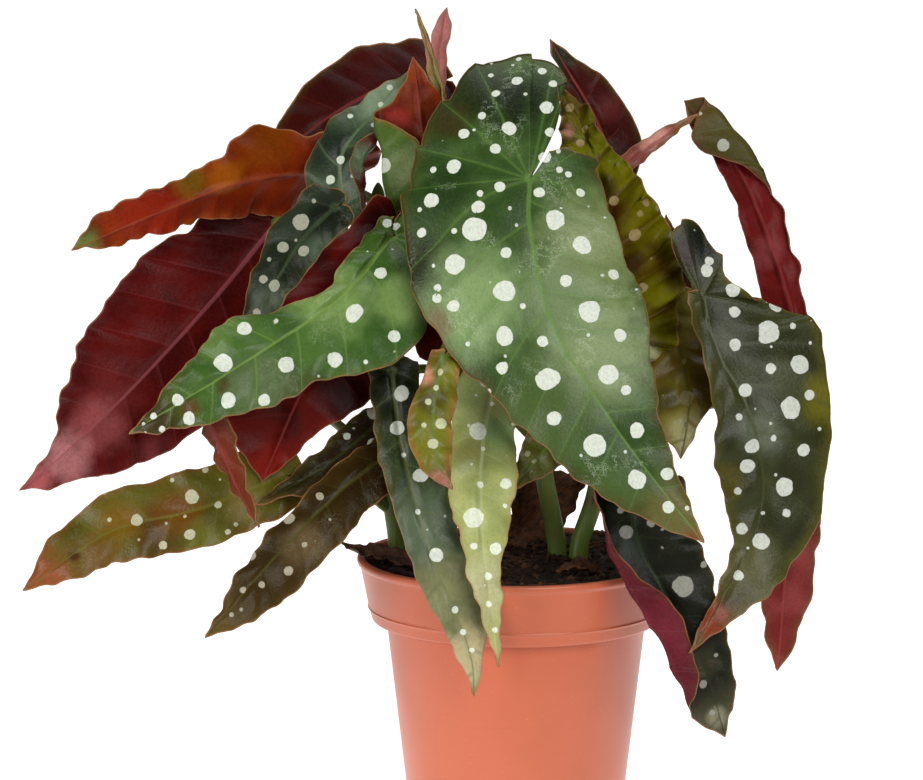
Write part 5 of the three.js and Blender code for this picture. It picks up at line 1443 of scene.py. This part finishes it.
def crumb_heap(count, waves, rng):
    """Loose crumbs and their tones: blocks with moved corners, most of them near 0.7 mm and few near
    2.8 mm, each turned about Z and set on the soil at a random place."""
    radius, around = (SOIL_RADIUS - 1.5) * np.sqrt(rng.random(count)), TURN * rng.random(count)
    x, y = radius * np.cos(around), radius * np.sin(around)
    size = 0.7 + 2.1 * rng.random(count)**2.5
    shapes = CRUMB * (1 + 0.5 * (rng.random((count, len(CRUMB), 3)) - 0.5)) * size[:, None, None]
    shapes *= np.stack([np.ones(count), 0.6 + 0.5 * rng.random(count), 0.7 * np.ones(count)], 1)[:, None]
    spin = TURN * rng.random(count)[:, None]
    along_x = shapes[..., 0] * np.cos(spin) - shapes[..., 1] * np.sin(spin)
    along_y = shapes[..., 0] * np.sin(spin) + shapes[..., 1] * np.cos(spin)
    centre = np.stack([x, y, soil_height(x, y, waves) + 0.25 * size], 1)
    points = np.stack([along_x, along_y, shapes[..., 2]], -1) + centre[:, None]
    faces = CRUMB_FACES + len(CRUMB) * np.arange(count)[:, None, None]
    return (points.reshape(-1, 3), faces.reshape(-1, 3)), np.repeat(0.75 * rng.random(count)**4, len(CRUMB))


def fibre(waves, rng):
    """One fibre and its tones: a thin bent tube, 4 to 13 mm long, that lies on the soil at a random
    place and heading."""
    radius, around = (SOIL_RADIUS - 6) * np.sqrt(rng.random()), TURN * rng.random()
    heading, size = TURN * rng.random(), 4 + 9 * rng.random()
    steps = np.linspace(-0.5, 0.5, 4)[:, None] * size
    flat = radius * np.array([np.cos(around), np.sin(around)]) + steps * (np.cos(heading), np.sin(heading))
    flat = flat + rng.normal(0, 0.5, (4, 2))
    high = soil_height(*flat.T, waves) + 0.5 + rng.random(4)
    radii = np.array([0.15, 0.28, 0.28, 0.12]) * (0.7 + rng.random())
    points, faces = tube(np.column_stack([flat, high]), radii, 5, 8)
    return (points, faces), np.full(len(points), 0.3 + 0.6 * rng.random())


class BEGONIA_OT_soil(bpy.types.Operator):
    """Make the soil with its crumbs and fibres"""
    bl_idname = "begonia.soil"
    bl_label = "Soil"

    def execute(self, context):
        settings = context.scene.begonia_soil
        rng = np.random.default_rng(SOIL_SEED)
        fineness = np.linspace(0.12, 0.7, SOIL_WAVES)[:, None]
        frequencies = rng.normal(0, 1, (SOIL_WAVES, 2)) * fineness
        waves = np.column_stack([frequencies, rng.random(SOIL_WAVES) * PHASES])
        body = soil_body(waves)
        pieces = [(body, np.zeros(len(body[0]))), crumb_heap(settings.crumbs, waves, rng)]
        pieces += [fibre(waves, rng) for _ in range(settings.fibres)]
        shapes, tones = zip(*pieces)
        soil = build_mesh("soil_heap", *joined(shapes), {"tone": np.concatenate(tones)})
        show(soil, soil_material("soil_finish", settings), "soil")
        return {"FINISHED"}


def cane_tube(cane, swelling):
    """A cane's shape, and for each point how near a node it is: a tube that tapers to its rounded top
    and swells by a bell of the height above or below each petiole's foot."""
    x, y, _ = cane["line"][0]
    line = [[x, y, SOIL_EDGE - CANE_DEPTH_IN_SOIL], [x, y, POT_HEIGHT + 2]] + cane["line"][1:]
    heights = spline(line, np.linspace(0, len(line) - 1, CANE_STEPS + 1))[:, 2:]
    starts = np.array([way[0][2] for way in cane["petioles"].values()], float)
    node = np.exp(-((heights - starts) / NODE_LENGTH)**2).max(1)
    taper = np.interp(np.linspace(0, 1, CANE_STEPS + 1), *zip(*CANE_TAPER))
    shape = tube(line, CANE_RADIUS * taper * (1 + swelling * node), CANE_SIDES, CANE_STEPS)
    return shape, np.r_[np.repeat(node, CANE_SIDES), node[0], node[-1]]


def petiole_tube(way, leaf):
    """A petiole's shape: a tube from the cane along its way to a point below the leaf's base, widened
    at both ends."""
    base, ahead, up, _ = (v[0] for v in rib_frame(leaf, midrib_of(leaf), np.zeros(1)))
    path = way + [list(base - PETIOLE_DROP * up - PETIOLE_BEHIND * ahead), list(base - BLADE_OFFSET * up)]
    return tube(path, PETIOLE_RADIUS * np.array(PETIOLE_TAPER), PETIOLE_SIDES, PETIOLE_STEPS * len(path))


class BEGONIA_OT_canes(bpy.types.Operator):
    """Make the canes with their nodes and petioles"""
    bl_idname = "begonia.canes"
    bl_label = "Canes"

    def execute(self, context):
        settings = context.scene.begonia_stems
        finish = stem_material("stem_finish", settings)
        for name, cane in CANES.items():
            shape, node = cane_tube(cane, settings.swelling)
            petioles = [petiole_tube(way, FORMS[leaf]) for leaf, way in cane["petioles"].items()]
            points, faces = joined([shape] + petioles)
            rest = len(points) - len(node)
            values = {"node": np.r_[node, np.zeros(rest)], "petiole": np.r_[0 * node, np.ones(rest)]}
            show(build_mesh(name + "_stems", points, faces, values), finish, name)
        return {"FINISHED"}


class BEGONIA_OT_leaves(bpy.types.Operator):
    """Make every leaf blade with its veins, spots and cut margin"""
    bl_idname = "begonia.leaves"
    bl_label = "Leaves"

    def execute(self, context):
        settings = context.scene.begonia_leaves
        for number, name in enumerate(LEAVES):
            length = midrib_of(FORMS[name])["length"]
            fine = next(fine for longer_than, fine in FINENESS if length > longer_than)
            points, faces, values = blade_mesh(name, fine, settings, LEAF_SEED + number)
            look = {**PLAIN_LOOK, **LOOKS.get(name, {})}
            finish = leaf_material(name + "_finish", look, length, number, tone_and_light_patches_of(name, points))
            show(build_mesh(name + "_blade", points, faces, values), finish, name)
        return {"FINISHED"}


class BEGONIA_OT_scraps(bpy.types.Operator):
    """Make the dry leaf scraps on the soil and the rim"""
    bl_idname = "begonia.scraps"
    bl_label = "Dry scraps"

    def execute(self, context):
        settings = context.scene.begonia_leaves
        for number, name in enumerate(SCRAPS):
            parts = blade_mesh(name, SCRAP_FINENESS, settings, SCRAP_SEED + number)
            finish = dry_material(name + "_finish", *SCRAP_TONES[name])
            show(build_mesh(name + "_blade", *parts), finish, name)
        return {"FINISHED"}


def soft_light(name, place, aim, size, power, colour):
    """A square light at place that faces the plant's axis at the height aim; all in metres."""
    light = bpy.data.lights.new(name, "AREA")
    light.shape, light.size, light.energy, light.color = "SQUARE", size, power, colour
    holder = bpy.data.objects.new(name, light)
    bpy.context.scene.collection.objects.link(holder)
    x, y, z = place
    holder.location = place
    holder.rotation_euler = (math.atan2(math.hypot(x, y), z - aim), 0.0, math.atan2(x, -y))


class BEGONIA_OT_stage(bpy.types.Operator):
    """Set up the floor, the lights and the camera"""
    bl_idname = "begonia.stage"
    bl_label = "Stage"

    def execute(self, context):
        settings = context.scene.begonia_stage
        half = settings.floor_size / MM / 2
        corners = np.array([[-half, -half, 0], [half, -half, 0], [half, half, 0], [-half, half, 0]])
        floor = build_mesh("floor", corners, np.array([[0, 1, 2], [0, 2, 3]]), smooth=False)
        floor.data.materials.append(floor_material("floor_finish", settings))
        world = bpy.data.worlds.new("studio")
        world.use_nodes = True
        sky = world.node_tree.nodes["Background"]
        sky.inputs["Color"].default_value = (1.0, 1.0, 1.0, 1.0)
        sky.inputs["Strength"].default_value = settings.world
        context.scene.world = world
        soft_light("key_light", (0.75, -1.7, 1.05), 0.17, 1.1, settings.key_power, (1.0, 0.99, 0.97))
        soft_light("fill_light", (-1.45, -1.35, 0.6), 0.12, 1.0, settings.fill_power, (1.0, 0.97, 0.93))
        soft_light("top_light", (0.2, 0.5, 1.9), 0.17, 1.2, settings.top_power, (1.0, 1.0, 1.0))
        lens = bpy.data.cameras.new("camera")
        lens.sensor_width = SENSOR_WIDTH
        lens.lens = SENSOR_WIDTH * CAMERA_DISTANCE / (PIXEL_AT_POT_AXIS * PICTURE[0])
        lens.clip_end = 100.0
        camera = bpy.data.objects.new("camera", lens)
        context.scene.collection.objects.link(camera)
        forward, _ = camera_directions()
        camera.location = np.array(CAMERA_TARGET) * MM - settings.camera_distance * forward
        camera.rotation_euler = (math.pi / 2 - math.radians(CAMERA_PITCH), 0.0, 0.0)
        context.scene.camera = camera
        context.scene.view_settings.view_transform = "Standard"
        context.scene.view_settings.look = "None"
        return {"FINISHED"}


class BEGONIA_PT_panel(bpy.types.Panel):
    """Buttons and values of the begonia"""
    bl_label = "Polka dot begonia"
    bl_idname = "BEGONIA_PT_panel"
    bl_space_type = "VIEW_3D"
    bl_region_type = "UI"
    bl_category = "Begonia"

    def draw(self, context):
        for operator, group in STEPS:
            box = self.layout.box()
            box.operator(operator.bl_idname)
            settings = getattr(context.scene, group)
            for key in settings.bl_rna.properties.keys():
                if key not in ("name", "rna_type"):
                    box.prop(settings, key)


GROUPS = {
    "begonia_leaves": LeafSettings,
    "begonia_stems": StemSettings,
    "begonia_soil": SoilSettings,
    "begonia_pot": PotSettings,
    "begonia_stage": StageSettings,
}
STEPS = [
    (BEGONIA_OT_pot, "begonia_pot"),
    (BEGONIA_OT_soil, "begonia_soil"),
    (BEGONIA_OT_canes, "begonia_stems"),
    (BEGONIA_OT_leaves, "begonia_leaves"),
    (BEGONIA_OT_scraps, "begonia_leaves"),
    (BEGONIA_OT_stage, "begonia_stage"),
]


def register():
    for key, group in GROUPS.items():
        bpy.utils.register_class(group)
        setattr(bpy.types.Scene, key, PointerProperty(type=group))
    for operator, _ in STEPS:
        bpy.utils.register_class(operator)
    bpy.utils.register_class(BEGONIA_PT_panel)


def unregister():
    bpy.utils.unregister_class(BEGONIA_PT_panel)
    for operator, _ in reversed(STEPS):
        bpy.utils.unregister_class(operator)
    for key, group in GROUPS.items():
        delattr(bpy.types.Scene, key)
        bpy.utils.unregister_class(group)


def main():
    """Runs every operator in order."""
    register()
    bpy.ops.begonia.pot()
    bpy.ops.begonia.soil()
    bpy.ops.begonia.canes()
    bpy.ops.begonia.leaves()
    bpy.ops.begonia.scraps()
    bpy.ops.begonia.stage()


if __name__ == "__main__":
    main()
